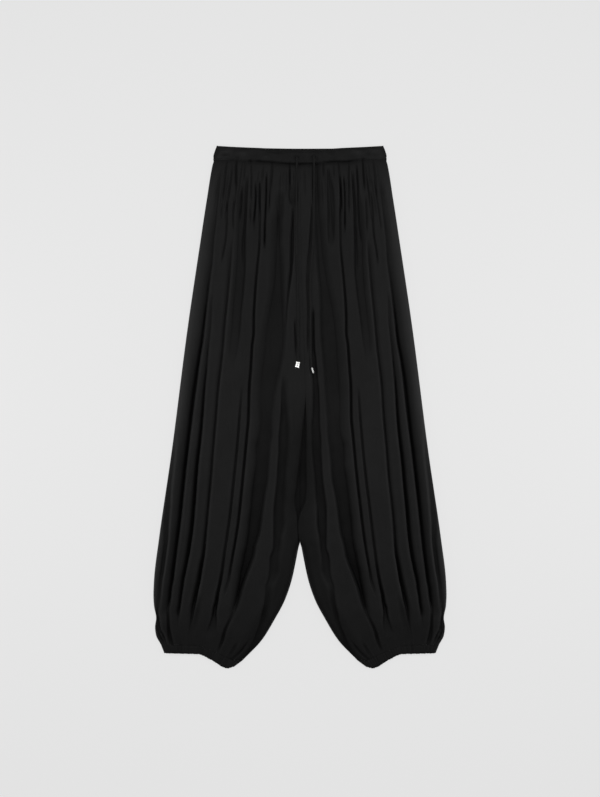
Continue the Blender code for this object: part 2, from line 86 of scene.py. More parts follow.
# Soft uneven waves: a seed, how many sines, their wavelengths across and along, and their height
Waves = namedtuple("Waves", "seed count across along height")
WAVE_SPREAD = (0.6, 1.7)
WANDER = Waves(11, 5, 1e9, 230.0, 0.55)
LOFT_WAVES = Waves(71, 7, 62.0, 340.0, 0.5)
LOFT_WAVES_START = 60.0
FRONT_WAVES = (Waves(91, 10, 13.0, 110.0, 0.10), Waves(95, 8, 34.0, 46.0, 0.12))
FREE_RISE = 3.0
BACK_WAVES = Waves(131, 9, 44.0, 420.0, 0.55)
BAND_WAVES = (Waves(203, 8, 34.0, 60.0, 0.16), Waves(204, 8, 9.0, 26.0, 0.06))

# The seam under the band: the front's top edge follows it, with a groove on both sides
SEAM_BEND_RUN = 75.0
SEAM_GROOVE = 2.3
SEAM_GROOVE_WIDTH = 2.6
BAND_GROOVE_WIDTH = 2.2

# The backs: shallow troughs where the cloth lifts, a top edge tucked under the band, edges curled up
BACK_LIFT = 0.9
BACK_LIFT_FROM = 0.15
BACK_LIFT_START = (45.0, 30.0)
BACK_FLAT_EDGE = 14.0
BACK_TUCK = 3.0
BACK_TUCK_RUN = 14.0
FORK_CURL = 45.0

BAND_TOP_OUT = 161.8
BAND_SIDE = ((0, BAND_TOP_OUT), (17.6, 167.2), (27.4, 169), (WAIST_SEAM_DOWN, 167.6))

# The band's upper edges, its front's lower edge and how deep that seam lies, in rows of (x, value)
BACK_TOP = (
    (-162, 0.9), (-127, 3), (-100, 4.2), (-62, 5.5), (0, 6.3), (60, 6.1), (80, 4.9), (120, 3.2), (162, 0.9),
)  # fmt: skip
FRONT_TOP = (
    (-162, 1.4), (-127, 3.4), (-100, 4.6), (-66, 6.2), (-61, 10.3), (0, 10.6), (58, 10.5), (67, 8),
    (74, 6), (100, 4.6), (120, 3.7), (162, 1.4),
)  # fmt: skip
SEAM_LINE = (
    (-170, 29.5), (-125, 30.2), (-97, 32), (-80, 32.4), (-60, 33.8), (-45, 35.3), (-20, 37.6), (20, 37.2),
    (45, 35), (63, 33.3), (92, 33), (108, 30.7), (123, 28.6), (170, 28),
)  # fmt: skip
SEAM_DEPTH = (
    (-170, 0.12), (-140, 0.22), (-118, 0.28), (-103, 0.25), (-97, 1), (-91, 0.3), (-86, 0.6), (-79, 1),
    (-60, 0.9), (-40, 0.75), (-20, 1), (-9, 0.9), (0, 1), (14, 0.8), (30, 0.75), (40, 0.45), (50, 0.6),
    (58, 0.95), (75, 0.9), (95, 1), (106, 0.6), (115, 0.3), (123, 0.5), (131, 0.15), (170, 0.1),
)  # fmt: skip

# Rows of (down, out)
SIDE_SEAM = (
    (WAIST_SEAM_DOWN, 167.9), (47, 171.2), (105, 181.7), (184, 193.8), (360, 219.8), (594, 249.9),
    (770, 275.5), (848, 284.8), (877.3, 285.9), (897, 284.9), (922, 280.6), (940, 282.8), (955, 281),
    (974.5, 271),
)  # fmt: skip
LEG_END = ((848, 17.4), (887, 29.7), (926, 50.4), (965, 74.5), (1005, 112.5))
BACK_INSEAM = (
    (WAIST_SEAM_DOWN, 0), (776, 0), (781, 2.3), (790, 4.2), (809, 7.9), (848, 16.4),
) + LEG_END[1:]  # fmt: skip
CENTRE_SEAM = ((WAIST_SEAM_DOWN, 0), (240, 3), (CROTCH_DOWN, 11))
FORK_EDGE = ((783, 4.2), (792, 5.8), (812, 9.8), (828, 13))
LEFT_INSEAM = (
    (CROTCH_DOWN, -11), (537, -8.4), (580, -4.4), (623, 0.4), (665, 5.4), (696, 8.4), (716, 6.4),
    (745, 4.6), (772, 3.8),
) + FORK_EDGE + LEG_END  # fmt: skip
RIGHT_INSEAM = (
    (CROTCH_DOWN, 11), (560, 10.2), (668, 10.6), (690, 8.8), (716, 0), (745, -3.9), (766, -2.6),
) + FORK_EDGE + LEG_END  # fmt: skip

AnkleRow = namedtuple("AnkleRow", "share seam_out seam_down hem_out hem_down")
ANKLE = (
    AnkleRow(0, 112.5, 1005, 129, 1017),
    AnkleRow(0.1, 129, 1004, 141, LENGTH),
    AnkleRow(0.36, 167, 986.5, 174.5, 1003),
    AnkleRow(0.535, 194, 975.5, 199, 992.6),
    AnkleRow(0.785, 235, 973, 235, 991.6),
    AnkleRow(1, 271, 974.5, 264.8, 990.7),
)

# How high the ridges of the front stand, in rows of (run, height)
LOFT = (
    (0, SEAM_CROWN), (8, 9.8), (25, 11.2), (80, 12.8), (220, 14.2), (420, 15.4), (620, 17.2), (790, 19),
    (850, 19.4), (890, 17.4), (915, 13.6), (932, 10.4), (LEG_RUN, CASING_CROWN),
)  # fmt: skip

# The creases of the front legs. A crease is a trough with a flat floor between its near border, towards the
# centre, and its far one, towards the side. Its rows are (down, near, far, depth), where depth is a share of
# the cloth's height. The walls are the widths of its soft shoulders outside the floor, the inset is how far
# inside the borders the floor lies, and the rim is a small ridge along the near shoulder, as a share of the
# height, which also carries a painted highlight
Crease = namedtuple("Crease", "near_wall far_wall inset rim rows")

THIGH_LOW = (
    (503, 51, 80.8, 0.62), (535, 54, 80.8, 0.65), (565, 55, 83, 0.7), (590, 58.6, 89, 0.72),
    (622, 61.5, 89, 0.76), (650, 63, 93, 0.8), (680, 68.5, 96.5, 0.82), (706, 72.5, 99, 0.84),
    (730, 75.5, 102, 0.86), (756, 80, 104.6, 0.88), (782, 87.5, 108.5, 0.9), (798, 90, 112.5, 0.92),
    (814, 95, 115, 0.95), (830, 101, 118.5, 0.97), (845, 106.3, 120.4, 0.97), (861, 112, 123, 0.95),
    (877, 116.5, 125.8, 0.92), (892, 121, 128, 0.88), (908, 127, 131.5, 0.62), (921, 132, 135.4, 0.36),
    (938, 140, 142.6, 0.16), (956, 148, 150, 0),
)  # fmt: skip
INNER_LOW = (
    (550, 27, 38, 0.72), (573, 27.5, 40, 0.74), (597, 28.5, 40, 0.76), (620, 30.5, 41.5, 0.78),
    (647, 33.3, 42.6, 0.78), (675, 34, 45.5, 0.78), (711, 36.5, 49.5, 0.76), (738, 37.3, 50, 0.74),
    (769, 43, 50.4, 0.7), (782, 44, 50.5, 0.66), (806, 47, 57, 0.58), (830, 47.5, 57.5, 0.55),
    (845, 52, 60, 0.45), (861, 60, 65, 0.35), (877, 62.5, 66, 0.42), (892, 64.5, 68, 0.48),
    (914, 70.5, 73.5, 0.58), (927, 73.3, 76, 0.52), (940, 77, 80, 0.45), (955, 83, 86, 0.52),
    (971, 89.5, 93, 0.52), (987, 98, 101.5, 0.5), (997, 105, 108, 0),
)  # fmt: skip
CREASES = (
    # The outermost long fold's edge, with a lower strip outside it
    Crease(3, 4, 0, 0.3, (
        (560, 242.5, 246, 0), (590, 244, 249, 0.28), (620, 246.5, 252, 0.36), (644, 249, 255, 0.4),
        (675, 252, 258, 0.42), (700, 253.5, 260, 0.42), (738, 257, 264, 0.45), (767, 258.5, 264, 0.45),
        (798, 262, 266.5, 0.48), (830, 266, 270, 0.46), (851, 269.5, 273, 0.4), (877, 272, 275, 0.3),
        (895, 274, 277, 0.22), (912, 276, 278.5, 0),
    )),
    # That edge's foot above the casing, and a short pleat outside it
    Crease(2.5, 3.5, 0, 0.07, (
        (896, 275.2, 277.4, 0), (910, 276, 278.5, 0.5), (924, 274.5, 277, 0.74), (940, 273, 275.5, 0.82),
        (949, 269.5, 272.5, 0.84), (956, 266, 268.6, 0.82), (963, 263.8, 266.2, 0.78),
        (971, 261, 263.6, 0.62), (980, 258, 260.5, 0),
    )),
    Crease(1.6, 2.5, 0, 0.14, (
        (926, 279.5, 280.5, 0), (938, 278.3, 279.8, 0.62), (950, 274.5, 276.3, 0.8), (960, 270, 272, 0.82),
        (970, 265.5, 267.5, 0.62), (978, 262, 263.5, 0),
    )),
    # The deepest long fold, near the side
    Crease(3, 17, 2.9, 0.05, (
        (58, 153, 154, 0), (85, 156, 158, 0.34), (120, 159, 161.5, 0.45), (150, 162, 164.5, 0.52),
        (190, 167, 169.5, 0.56), (230, 170, 173, 0.64), (260, 174, 177.5, 0.74), (300, 178, 182, 0.84),
        (340, 182.5, 187.5, 0.9), (380, 187, 193, 0.95), (420, 193.5, 200, 0.97), (480, 201, 209, 1),
        (550, 210, 217.5, 1), (620, 218.5, 225.5, 1), (675, 224, 231, 1), (725, 229.5, 236, 1),
        (767, 234.8, 241, 1), (798, 238.6, 244.6, 1), (830, 242.4, 248.2, 1), (850, 244.6, 250.2, 1),
        (861, 247, 252.3, 1), (877, 248.7, 253.6, 0.97), (892, 251, 255.2, 0.88), (907, 254.4, 257.6, 0.5),
        (922, 256, 258, 0),
    )),
    # Its narrow foot
    Crease(3, 4.5, 0.3, 0.03, (
        (903, 254.5, 257, 0), (918, 255.3, 257.3, 0.46), (935, 254.8, 257.2, 0.56),
        (950, 252.5, 257, 0.68), (962, 250, 255.5, 0.7), (972, 248, 253, 0.6), (981, 246, 250, 0),
    )),
    # The next one in: a thin line at first
    Crease(2.5, 11, 1.3, 0.05, (
        (285, 170, 171, 0), (310, 171.2, 172.6, 0.34), (340, 172.4, 173.8, 0.42),
        (395, 177.8, 179.4, 0.52), (440, 181, 183, 0.64), (480, 184.4, 187, 0.76),
        (510, 186.4, 189.4, 0.84), (563, 190.8, 194.6, 0.92), (620, 197, 201, 0.97),
        (680, 201.6, 205.8, 1), (728, 206, 210.4, 1), (756, 209, 213.4, 1), (782, 212.6, 217, 1),
        (798, 215, 219.3, 1), (814, 218, 222, 0.98), (830, 221, 225, 0.96), (845, 224.2, 228, 0.92),
        (861, 226.4, 230, 0.88), (877, 229, 232, 0.84), (892, 231, 234, 0.8), (905, 233, 236.6, 0.76),
        (922, 235.8, 238, 0.3), (945, 237, 239, 0),
    )),
    # The calf's fold, a step with a bright edge
    Crease(1.5, 9, 0.3, 0.09, (
        (180, 132, 133, 0), (207, 133.3, 134.8, 0.32), (235, 135.3, 137, 0.42), (290, 139.2, 141, 0.48),
        (350, 145.2, 147, 0.5), (410, 150.6, 152.4, 0.52), (470, 157, 159, 0.54), (522, 161, 163, 0.55),
        (588, 167, 169, 0.56), (644, 171, 173, 0.56), (706, 177, 179, 0.56), (756, 182, 184, 0.6),
        (782, 184, 186.2, 0.7), (798, 185.4, 188, 0.8), (814, 188, 191, 0.9), (830, 190.4, 193.8, 0.96),
        (850, 193.4, 197.4, 1), (861, 196, 200, 1), (877, 199.2, 203.6, 1), (892, 202.6, 207.2, 0.92),
        (905, 206, 210.4, 0.66), (922, 209.4, 213, 0.34), (946, 215, 218, 0),
    )),
    # The soft hollow at that fold's foot
    Crease(13, 3, 0, 0, (
        (876, 198, 204, 0), (896, 201, 208, 0.4), (914, 203, 210.4, 0.5), (930, 206, 212.6, 0.42),
        (948, 211, 216, 0.22), (966, 216, 220, 0),
    )),
    # Beside the knee, towards the side
    Crease(2, 4, 0, 0.03, (
        (470, 111.6, 112.6, 0), (500, 114, 115.6, 0.34), (535, 116.8, 118.4, 0.42),
        (589, 121.2, 123, 0.45), (650, 127, 129, 0.45), (705, 133, 135, 0.44), (767, 141.5, 143.5, 0.42),
        (798, 146, 148, 0.46), (814, 147.8, 149.8, 0.5), (830, 149.8, 152, 0.56), (845, 152, 154.6, 0.64),
        (861, 155, 158, 0.76), (877, 158.4, 161.8, 0.88), (888, 159.8, 163.6, 0.95),
        (900, 162, 167.2, 0.96), (914, 163.6, 169.2, 0.8), (924, 163, 171.4, 0.6), (940, 163.5, 177, 0.34),
        (956, 165, 182, 0),
    )),
    # Beside the knee, towards the centre
    Crease(1.8, 4, 0.5, 0.05, (
        (66, 77.7, 79, 0), (80, 77.4, 79.2, 0.6), (110, 77.2, 79, 0.6), (135, 76.2, 77.8, 0.36),
        (180, 77.4, 79, 0.36), (200, 78.3, 80, 0.46), (240, 82.2, 84.4, 0.52), (290, 85.8, 88.2, 0.62),
        (330, 87.8, 90.4, 0.66), (370, 88.8, 91.4, 0.66), (390, 91.6, 94.4, 0.66), (430, 93.6, 96.5, 0.68),
        (470, 96.4, 99.4, 0.7), (535, 98.4, 101.4, 0.7), (566, 101.5, 104.5, 0.7),
        (611, 105.5, 108.5, 0.68), (675, 111.5, 114.5, 0.66), (738, 119, 122, 0.66),
        (767, 123.6, 126.4, 0.64), (798, 128.8, 131.4, 0.62), (828, 133.8, 136.4, 0.5),
        (845, 136, 139.5, 0.32), (861, 140, 144, 0.26), (880, 144.5, 147, 0),
    )),
    # Short creases above the ankle casing
    Crease(2.5, 4, 0, 0.03, (
        (908, 128, 130, 0), (922, 134, 136, 0.26), (936, 141, 143.4, 0.4), (950, 146, 149, 0.5),
        (960, 148, 151.5, 0.62), (971, 151.5, 154.5, 0.56), (980, 155.5, 157.8, 0.46),
        (992, 158.8, 160.4, 0),
    )),
    Crease(2.5, 3, 0, 0.05, (
        (964, 99.5, 101, 0), (979, 108, 111.5, 0.45), (991, 117, 121.5, 0.5), (1000, 127, 131, 0.34),
        (1006, 134, 137, 0),
    )),
    Crease(3, 3, 0, 0.05, (
        (968, 121, 123.5, 0), (978, 125, 129.5, 0.34), (989, 131, 135.5, 0.34), (998, 137, 140, 0),
    )),
)  # fmt: skip
LEFT_CREASES = (
    # Beside the centre seam, then into the thigh's valley
    Crease(2.5, 6, 1.8, 0.04, (
        (110, 11.2, 12, 0), (130, 11, 13.6, 0.5), (150, 11.4, 14.6, 0.6), (172, 11.4, 17, 0.62),
        (190, 11.8, 17.6, 0.64), (220, 12.8, 18.6, 0.64), (240, 14.6, 19.4, 0.62), (260, 16.6, 21.2, 0.6),
        (290, 20.8, 24, 0.5), (320, 23.8, 26.6, 0.5), (345, 26, 29, 0.42), (368, 28.5, 31, 0),
    )),
    Crease(11, 15, 5, 0, (
        (84, 33, 43, 0), (100, 34, 44, 0.42), (130, 35, 46, 0.56), (150, 37, 48.5, 0.64),
        (185, 38, 49.5, 0.66), (205, 36, 50, 0.68), (225, 35, 51, 0.71), (280, 33, 55, 0.74),
        (320, 31, 62, 0.75), (360, 30, 69, 0.73), (400, 33, 73, 0.69), (435, 39, 77, 0.66),
        (470, 46, 80.5, 0.64),
    ) + THIGH_LOW),
    # Along the inner leg
    Crease(12, 4, 0, 0, (
        (448, 32.5, 33.5, 0), (475, 32, 34, 0.45), (500, 31, 34.6, 0.6), (527, 29, 36, 0.7),
    ) + INNER_LOW),
    # The middle panel's outer valley, with a sharp edge above
    Crease(2, 5, 0, 0.04, (
        (56, 101.8, 103, 0), (76, 102.4, 103.6, 0.44), (110, 104, 105.2, 0.5), (150, 105.4, 106.8, 0.5),
        (180, 108, 110, 0.46), (210, 109.6, 111.6, 0.42), (245, 109, 111, 0),
    )),
    Crease(5, 9, 2, 0, (
        (70, 103, 110, 0), (96, 103, 117, 0.36), (130, 104, 119, 0.44), (180, 106, 121, 0.5),
        (230, 107, 124, 0.58), (280, 110, 127.5, 0.6), (320, 114, 131, 0.58), (360, 117, 134, 0.5),
        (395, 122, 138, 0.34), (432, 130, 138, 0),
    )),
    # A broad hollow under the band
    Crease(4, 4, 1, 0, (
        (72, 12, 15, 0), (88, 7.5, 21.5, 0.4), (105, 7.5, 20.5, 0.42), (121, 10, 15, 0),
    )),
    # Beside the drawstring's end
    Crease(1.5, 3, 0, 0, ((338, 8.6, 9.6, 0), (355, 8.4, 9.8, 0.4), (385, 7, 8.8, 0.4), (418, 6.6, 8, 0))),
)  # fmt: skip
RIGHT_CREASES = (
    # Outside the drawstring, then into the thigh's valley
    Crease(9, 14, 4, 0, (
        (30, 26, 36.5, 0.62), (85, 26, 37, 0.62), (120, 28, 38.5, 0.5), (150, 29, 41, 0.54),
        (200, 33, 46, 0.6), (240, 36, 52, 0.64), (280, 39, 58, 0.68), (320, 40, 66, 0.72),
        (360, 41, 72, 0.74), (400, 44, 75, 0.73), (440, 46.5, 76.5, 0.7), (480, 49, 79.5, 0.67),
    ) + THIGH_LOW),
    # Inside and under the drawstring
    Crease(3, 4, 0.3, 0.02, (
        (112, 22.4, 23.4, 0), (130, 22.2, 23.8, 0.36), (165, 20.4, 21.8, 0.38), (200, 18.8, 20.4, 0.38),
        (240, 15.4, 17, 0.36), (280, 14.4, 16, 0.38), (330, 16, 17.8, 0.36), (380, 15.4, 17, 0.36),
        (412, 17, 18.4, 0),
    )),
    Crease(3, 3, 0, 0, (
        (315, 24, 25, 0), (335, 24.2, 26, 0.5), (400, 25.2, 27.6, 0.6), (416, 23, 29.6, 0.56),
        (436, 23, 30, 0.44), (462, 27, 31, 0),
    )),
    # Along the inner leg
    Crease(8, 3, 0, 0, (
        (412, 26, 30, 0), (440, 26, 31.6, 0.5), (460, 28.4, 33, 0.62), (480, 29, 35.5, 0.7),
        (519, 29.4, 37, 0.74),
    ) + INNER_LOW),
    # A broad hollow under the band
    Crease(3.5, 3.5, 1, 0, (
        (40, 53.6, 56, 0), (56, 54, 58, 0.5), (72, 54, 61, 0.44), (88, 53.6, 65, 0.38),
        (130, 54, 66, 0.42), (170, 54.6, 66, 0.36), (198, 58, 64, 0),
    )),
    # The middle panel's outer valley, with a sharp edge above
    Crease(2, 5, 0, 0.04, (
        (46, 101, 102.4, 0), (64, 101.8, 103, 0.46), (100, 103.4, 104.8, 0.58), (150, 105.4, 106.8, 0.5),
        (190, 107.4, 109, 0.48), (215, 109.6, 111.4, 0.44), (250, 109, 111, 0),
    )),
    Crease(5, 9, 2, 0, (
        (84, 103, 110, 0), (112, 104, 118, 0.38), (170, 106, 122, 0.54), (225, 107, 124, 0.6),
        (280, 110.5, 126.5, 0.6), (340, 118, 133, 0.54), (380, 123, 137, 0.38), (428, 130, 138.5, 0),
    )),
)  # fmt: skip

# Short gathers under the waistband, each a narrow trough that fades out at both ends. Its route is rows of
# (down, out). A depth below zero makes a low ridge
Gather = namedtuple("Gather", "width depth route")
LEFT_GATHERS = (
    Gather(3.4, 0.62, ((34, 19.6), (60, 19.5), (84, 19.3))),
    Gather(2.6, 0.36, ((48, 11), (80, 11))),
    Gather(2.6, 0.32, ((76, 5), (104, 5))),
    Gather(4.6, 0.46, ((28, 54), (50, 54), (62, 55), (84, 57.2))),
    Gather(3.4, 0.64, ((58, 65), (100, 65.5), (130, 66.6), (160, 68), (196, 68.6))),
    Gather(2.6, 0.4, ((82, 58), (124, 60))),
    Gather(3.2, 0.6, ((74, 86), (105, 86), (138, 88.4), (152, 90.4))),
    Gather(2.4, 0.34, ((30, 95), (60, 94.5), (110, 94.5))),
    Gather(2.4, 0.3, ((116, 96.5), (148, 96.5))),
    Gather(3, 0.5, ((86, 113), (112, 113.6), (142, 116.4))),
    Gather(4, 0.58, ((24, 123), (50, 124), (82, 124))),
    Gather(3, 0.32, ((102, 127.4), (138, 130), (164, 129.5))),
    Gather(3.4, 0.36, ((108, 141.4), (150, 142), (180, 144), (205, 148), (224, 151.6))),
    Gather(3.6, 0.34, ((26, 141.6), (50, 144.4), (80, 147), (104, 149.4))),
    Gather(2.4, 0.24, ((116, 152), (139, 153))),
    Gather(4, -0.06, ((182, 129.6), (230, 130), (276, 131.5))),
    Gather(3.6, -0.06, ((246, 8.5), (275, 10), (304, 12.5))),
    Gather(2.6, 0.22, ((34, 71), (66, 72))),
    Gather(2.4, 0.2, ((32, 107), (74, 108.5))),
    Gather(2.6, 0.2, ((32, 132), (70, 134))),
    Gather(3.6, 0.24, ((112, 43.5), (150, 42), (200, 40.5))),
)
RIGHT_GATHERS = (
    Gather(4.2, 0.44, ((30, 45), (60, 45.4))),
    Gather(3.4, 0.66, ((60, 77), (80, 78), (110, 80), (132, 78))),
    Gather(3, 0.58, ((62, 85), (105, 87), (150, 87), (164, 87))),
    Gather(2.6, 0.4, ((30, 95.4), (80, 94.6), (128, 95.4))),
    Gather(3.4, 0.56, ((38, 110), (80, 112), (110, 113), (150, 115), (184, 119))),
    Gather(3.8, 0.6, ((24, 121.5), (60, 123.6), (84, 125.4))),
    Gather(3, 0.34, ((102, 128), (125, 129), (166, 130))),
    Gather(3.2, 0.38, ((92, 138), (130, 141), (170, 143), (210, 149), (228, 151))),
    Gather(3.4, 0.34, ((26, 142), (60, 145.4), (98, 148.6))),
    Gather(4, -0.06, ((190, 127), (212, 128), (232, 129.5))),
    Gather(3, 0.34, ((28, 74), (52, 75.4))),
    Gather(2.6, 0.28, ((42, 8), (96, 9))),
    Gather(2.6, 0.26, ((36, 65), (60, 66))),
    Gather(2.4, 0.22, ((36, 134), (78, 136))),
)

# Faint gathers and low ridges between the short ones
FINE_GATHERS = 36
FINE_SEED = 31
FINE_OUT = (24, 163)
FINE_JITTER = (0.2, 0.8)
FINE_START = (28, 75)
FINE_LENGTH = (40, 120)
FINE_DRIFT = 0.001
FINE_WIDTH = (2.0, 3.2)
FINE_DEPTH = (-0.10, 0.26)

# Faint gathers at the ankle casing's seam. Widths and leans are shares of the ankle's width
ANKLE_GATHERS = 34
ANKLE_SEED = 51
ANKLE_JITTER = (0.15, 0.85)
ANKLE_RISE = (12, 40)
ANKLE_DEPTH = (0.03, 0.13)
ANKLE_LEAN = 0.010
ANKLE_WIDTH = 0.009

# The shoulders, rims and ends that creases and gathers share, and how height follows the kept share
FAR_SLOPE = 1.7
RIM_OFFSET = 1.2
RIM_WIDTH = 2.2
GATHER_LEAD = 12.0
GATHER_TAPER = 26.0
GATHER_TAPER_SHARE = 0.45
GATHER_NEAR = 0.36
GATHER_FAR = 0.62
GATHER_ENDS = 0.6
DEPTH_CURVE = 0.6

# Soft puffs and hollows of the front band: place, half-sizes across and down, and lift
Puff = namedtuple("Puff", "x down wide tall lift")
PUFFS = (
    Puff(-115, 15.5, 15, 6.5, 1),
    Puff(-147, 12, 10, 3.5, 0.7),
    Puff(-159, 20, 5, 8, 0.5),
    Puff(-66, 22, 5, 3.5, 0.6),
    Puff(-146, 18.5, 8, 2.6, -0.6),
    Puff(-44, 15, 14, 3.2, -0.5),
    Puff(-131, 28.5, 11, 2.6, -0.5),
    Puff(-122, 25.6, 5, 2.2, -0.4),
    Puff(-9, 24, 5, 8, -0.6),
    Puff(114, 13.5, 15, 7, 1),
    Puff(148, 11, 10, 4.5, 0.8),
    Puff(159, 19, 5, 8, 0.5),
    Puff(60, 21, 6, 3.5, 0.5),
    Puff(38, 22, 4, 4, 0.5),
    Puff(134, 16.5, 4.5, 6.5, -0.7),
    Puff(144, 18.5, 4, 2.6, -0.5),
    Puff(123, 27, 5, 2.6, -0.5),
    Puff(33.5, 27, 3, 6, -0.7),
    Puff(22, 27, 2.6, 8, -0.5),
)

# The drawstring's two ends, in rows of (x, down), and the height where they start inside the band
CORD_DIAMETER = 3.8
CORD_ROOT = 5.4
CORD_LEFT = (
    (-5.9, 24), (-6.3, 52), (-6.8, 99), (-7, 161), (-6.3, 208), (-4.7, 263), (-3.7, 318), (-3.3, 365),
    (-3.1, 400), (-3.4, 422.7),
)  # fmt: skip
CORD_RIGHT = (
    (27.3, 22.5), (27.2, 60), (27.1, 99), (27, 130), (26.4, 161), (25.4, 193), (24.4, 208), (22.9, 224),
    (21.7, 240), (20.7, 255), (20.1, 271), (19.9, 286), (20.2, 302), (20.6, 365), (20.8, 396), (21.3, 412),
    (22.3, 434.2),
)  # fmt: skip

# Painted light on the fronts: painted shade beside the slit and in the middle panel, and painted highlights
# on the crease rims and along the side edge
STRIP_START = (470.0, 120.0)
STRIP_WIDTH = 44.0
STRIP_SHADE = 0.50
SIDE_PALE = 1.5
SIDE_PALE_LOW = 0.2
SIDE_PALE_START = 130.0
SIDE_PALE_FADE = (500.0, 140.0)
SIDE_PALE_WIDTH = 12.5
MIDDLE_START = (90.0, 100.0)
MIDDLE_SHADE = 0.06
PANEL_SHADE = 0.15
PANEL_OUT = 78.0
PANEL_WIDTH = 42.0
RELIEF_REACH = (3, 6)
RELIEF_FULL = 5.0
RELIEF_SHARE = 0.35
RIM_PALE = 6.0

# Painted shade on the backs: darker where their edges curl up, and nearly black where they show through the
# slit, which fades out in two steps
BACK_TONE = 0.85
BACK_EDGE_SHADE = 0.4
SLIT_DARK = 0.98
SLIT_DARK_START = 30.0
SLIT_DARK_WIDTH = 26.0
SLIT_DARK_FADES = ((0.25, 620.0, 60.0), (0.75, 700.0, 60.0))

# The ankle casings: a wall of folded cloth, a ruffled hem and tones, with painted shade in the gathers and
# towards the hem
CASING_SEED = 171
CASING_WALL = 2.2
HALF_HOLLOW = 0.1
CASING_SLOPE = 0.8
CASING_RISE = 6.0
CASING_DENT_PART = 0.12
CASING_DENT_WIDTH = 0.05
HEM_PART = (0.80, 0.20)
HEM_DROP = 1.6
RUFFLE_STEP = (0.55, 1.25)
RUFFLE_SINES = ((0.9, 0.0, 0.7), (0.37, 1.0, 0.5))
RUFFLE_DOWN = 0.4
RUFFLE_UP = 0.16
CASING_TONE = 0.62
CASING_CONTRAST = 2.2
CASING_EVEN = 0.93
CASING_UNDER_TONE = 0.7
HEM_SHADE = 0.15

# The waistband's halves: rounded edges, puffs, pinches where gathers start, holes and tones. The tones are
# painted light: paler puffs, and painted shade at the seam, the rounded edges, the pinches, the fold and the
# holes
BAND_ROUND = 3.0
BAND_END_ROUND = 9.0
BAND_SLOPE = 9.0
BAND_EDGE_HIGH = 6.6
BAND_END_HIGH = EDGE_HIGH + 0.6
BAND_LEAST = 0.5
BAND_INSIDE = (6.0, 5.1)
BAND_INSIDE_LOWEST = EDGE_HIGH - 0.2
PUFF_REACH = 0.8
PUFF_EDGE = 4.0
PINCH = 0.9
PINCH_START = 48
PINCH_WIDTH = 2.4
PINCH_RISE = 6.0
HOLE_REACH = 2.4
BAND_TONE = 0.70
PUFF_PALE = 0.48
SEAM_SHADE = 0.5
SEAM_SHADE_WIDTH = 3.0
BAND_EDGE_SHADE = 0.25
PINCH_SHADE = 0.12
HOLE_SHADE = 0.5
BAND_FOLD_SHADE = 0.5
BAND_FOLD_WIDTH = 1.3
BAND_FOLD_OUT = 64
BAND_MIDDLE_SHADE = 0.08
BAND_MIDDLE_WIDTH = 90.0
BAND_END_PALE = 0.2
BAND_END_START = (118.0, 30.0)
BACK_BAND_EDGE = 1.5
BACK_BAND_LEAST = 0.9
BACK_BAND_SWELL = 1.9
BACK_BAND_TONE = 0.45
BACK_BAND_PALE = 0.2

# The cord's path over the cloth, and the tips
ABOVE_ALL = 100.0
CORD_POINTS = 120
CORD_EASINGS = 8
CORD_SAG = 0.3
CORD_TURN_DOWN = 1.2
CORD_TURN_LOW = 0.6
TIP_WIDTH = 8.4
TIP_LENGTH = 10.8
TIP_THICKNESS = 3.2
TIP_GAP = 0.5
TIP_LEAN_LEFT = -13.0
TIP_LEAN_RIGHT = 16.0
TIP_TILT = 78
TIP_CUTS = 14
TIP_ROUND = 0.5
TIP_WAIST = 0.16
TIP_FOLD = 0.20
TIP_FOLD_WIDTH = 0.16
TIP_GROOVES = (-0.45, 0.0, 0.45)
TIP_GROOVE_WIDTH = 0.10
TIP_GROOVE_DEPTH = 0.13
TIP_CROWN = 0.10

# Sewing thread, and where its rows lie
STITCH_LENGTH = 2.1
STITCH_STEP = 2.7
STITCH_WIDTH = 0.5
STITCH_HEIGHT = 0.4
STITCH_SHOULDER = 0.55
STITCH_DENT = 0.35
STITCH_DENT_WIDTH = 0.7
STITCH_ABOVE_SEAM = 2.6
STITCH_BELOW_TOP = 3.4
STITCH_SEAM_OUT = 164
STITCH_TOP_OUT = 158
STITCH_IN_CASING = 0.14
STITCH_LINE_POINTS = 60
STITCH_CASING_POINTS = 40
STITCH_CASING_SHARES = (0.03, 0.97)
EYELET_STITCHES = 26
EYELET_RADIUS = 3.0
EYELET_RISE = 0.1

# The meshes' fineness
LEG_ROWS = 212
LEG_ROWS_CLOSER = 0.25
FRONT_COLUMNS = 200
BACK_ROWS = 170
BACK_COLUMNS = 96
EDGE_COLUMNS = (0.0, 0.12, 0.4, 0.85, 1.5, 2.3, 3.3, 4.6, 6.2, 8.0, 10.0, 12.4)
UNDER_COLUMNS = (0.0, 0.3, 0.9, 1.8, 3.0, 4.8, UNDER_ROUND)
CASING_ROWS = 15
CASING_COLUMNS = 190
CASING_FLAT = (0.034, 0.966)
CASING_TURN = (0.0, 0.002, 0.006, 0.013, 0.022)
BAND_ROWS = 34
BAND_ROWS_CLOSER = 0.35
BAND_COLUMNS = 300
BAND_COLUMNS_CLOSER = 1.15

# Colours and finishes
# The painted light's scale, and the crepe's colour from its deepest painted shade to its painted highlight
PAINTED_LIGHT_SHARE = 0.5
PATCH_SHARE = 0.35
PATCH_EVEN = 0.17
CREPE_DEEP = (0.0030, 0.0030, 0.0030, 1.0)
CREPE_PAINTED_LIT = (0.0285, 0.0285, 0.0287, 1.0)
CREPE_SPECULAR = 0.05
CREPE_ROUGHNESS = 0.5
CREPE_SHEEN = 0.02
CREPE_SHEEN_ROUGHNESS = 0.4
CORD_SHEEN = 0.03
CORD_COLOUR = (0.019, 0.019, 0.019)
CORD_DEEP = (0.009, 0.009, 0.009, 1.0)
CORD_PALE = (0.024, 0.024, 0.024, 1.0)
THREAD_COLOUR = (0.006, 0.006, 0.0062)
METAL_COLOUR = (0.56, 0.56, 0.55)

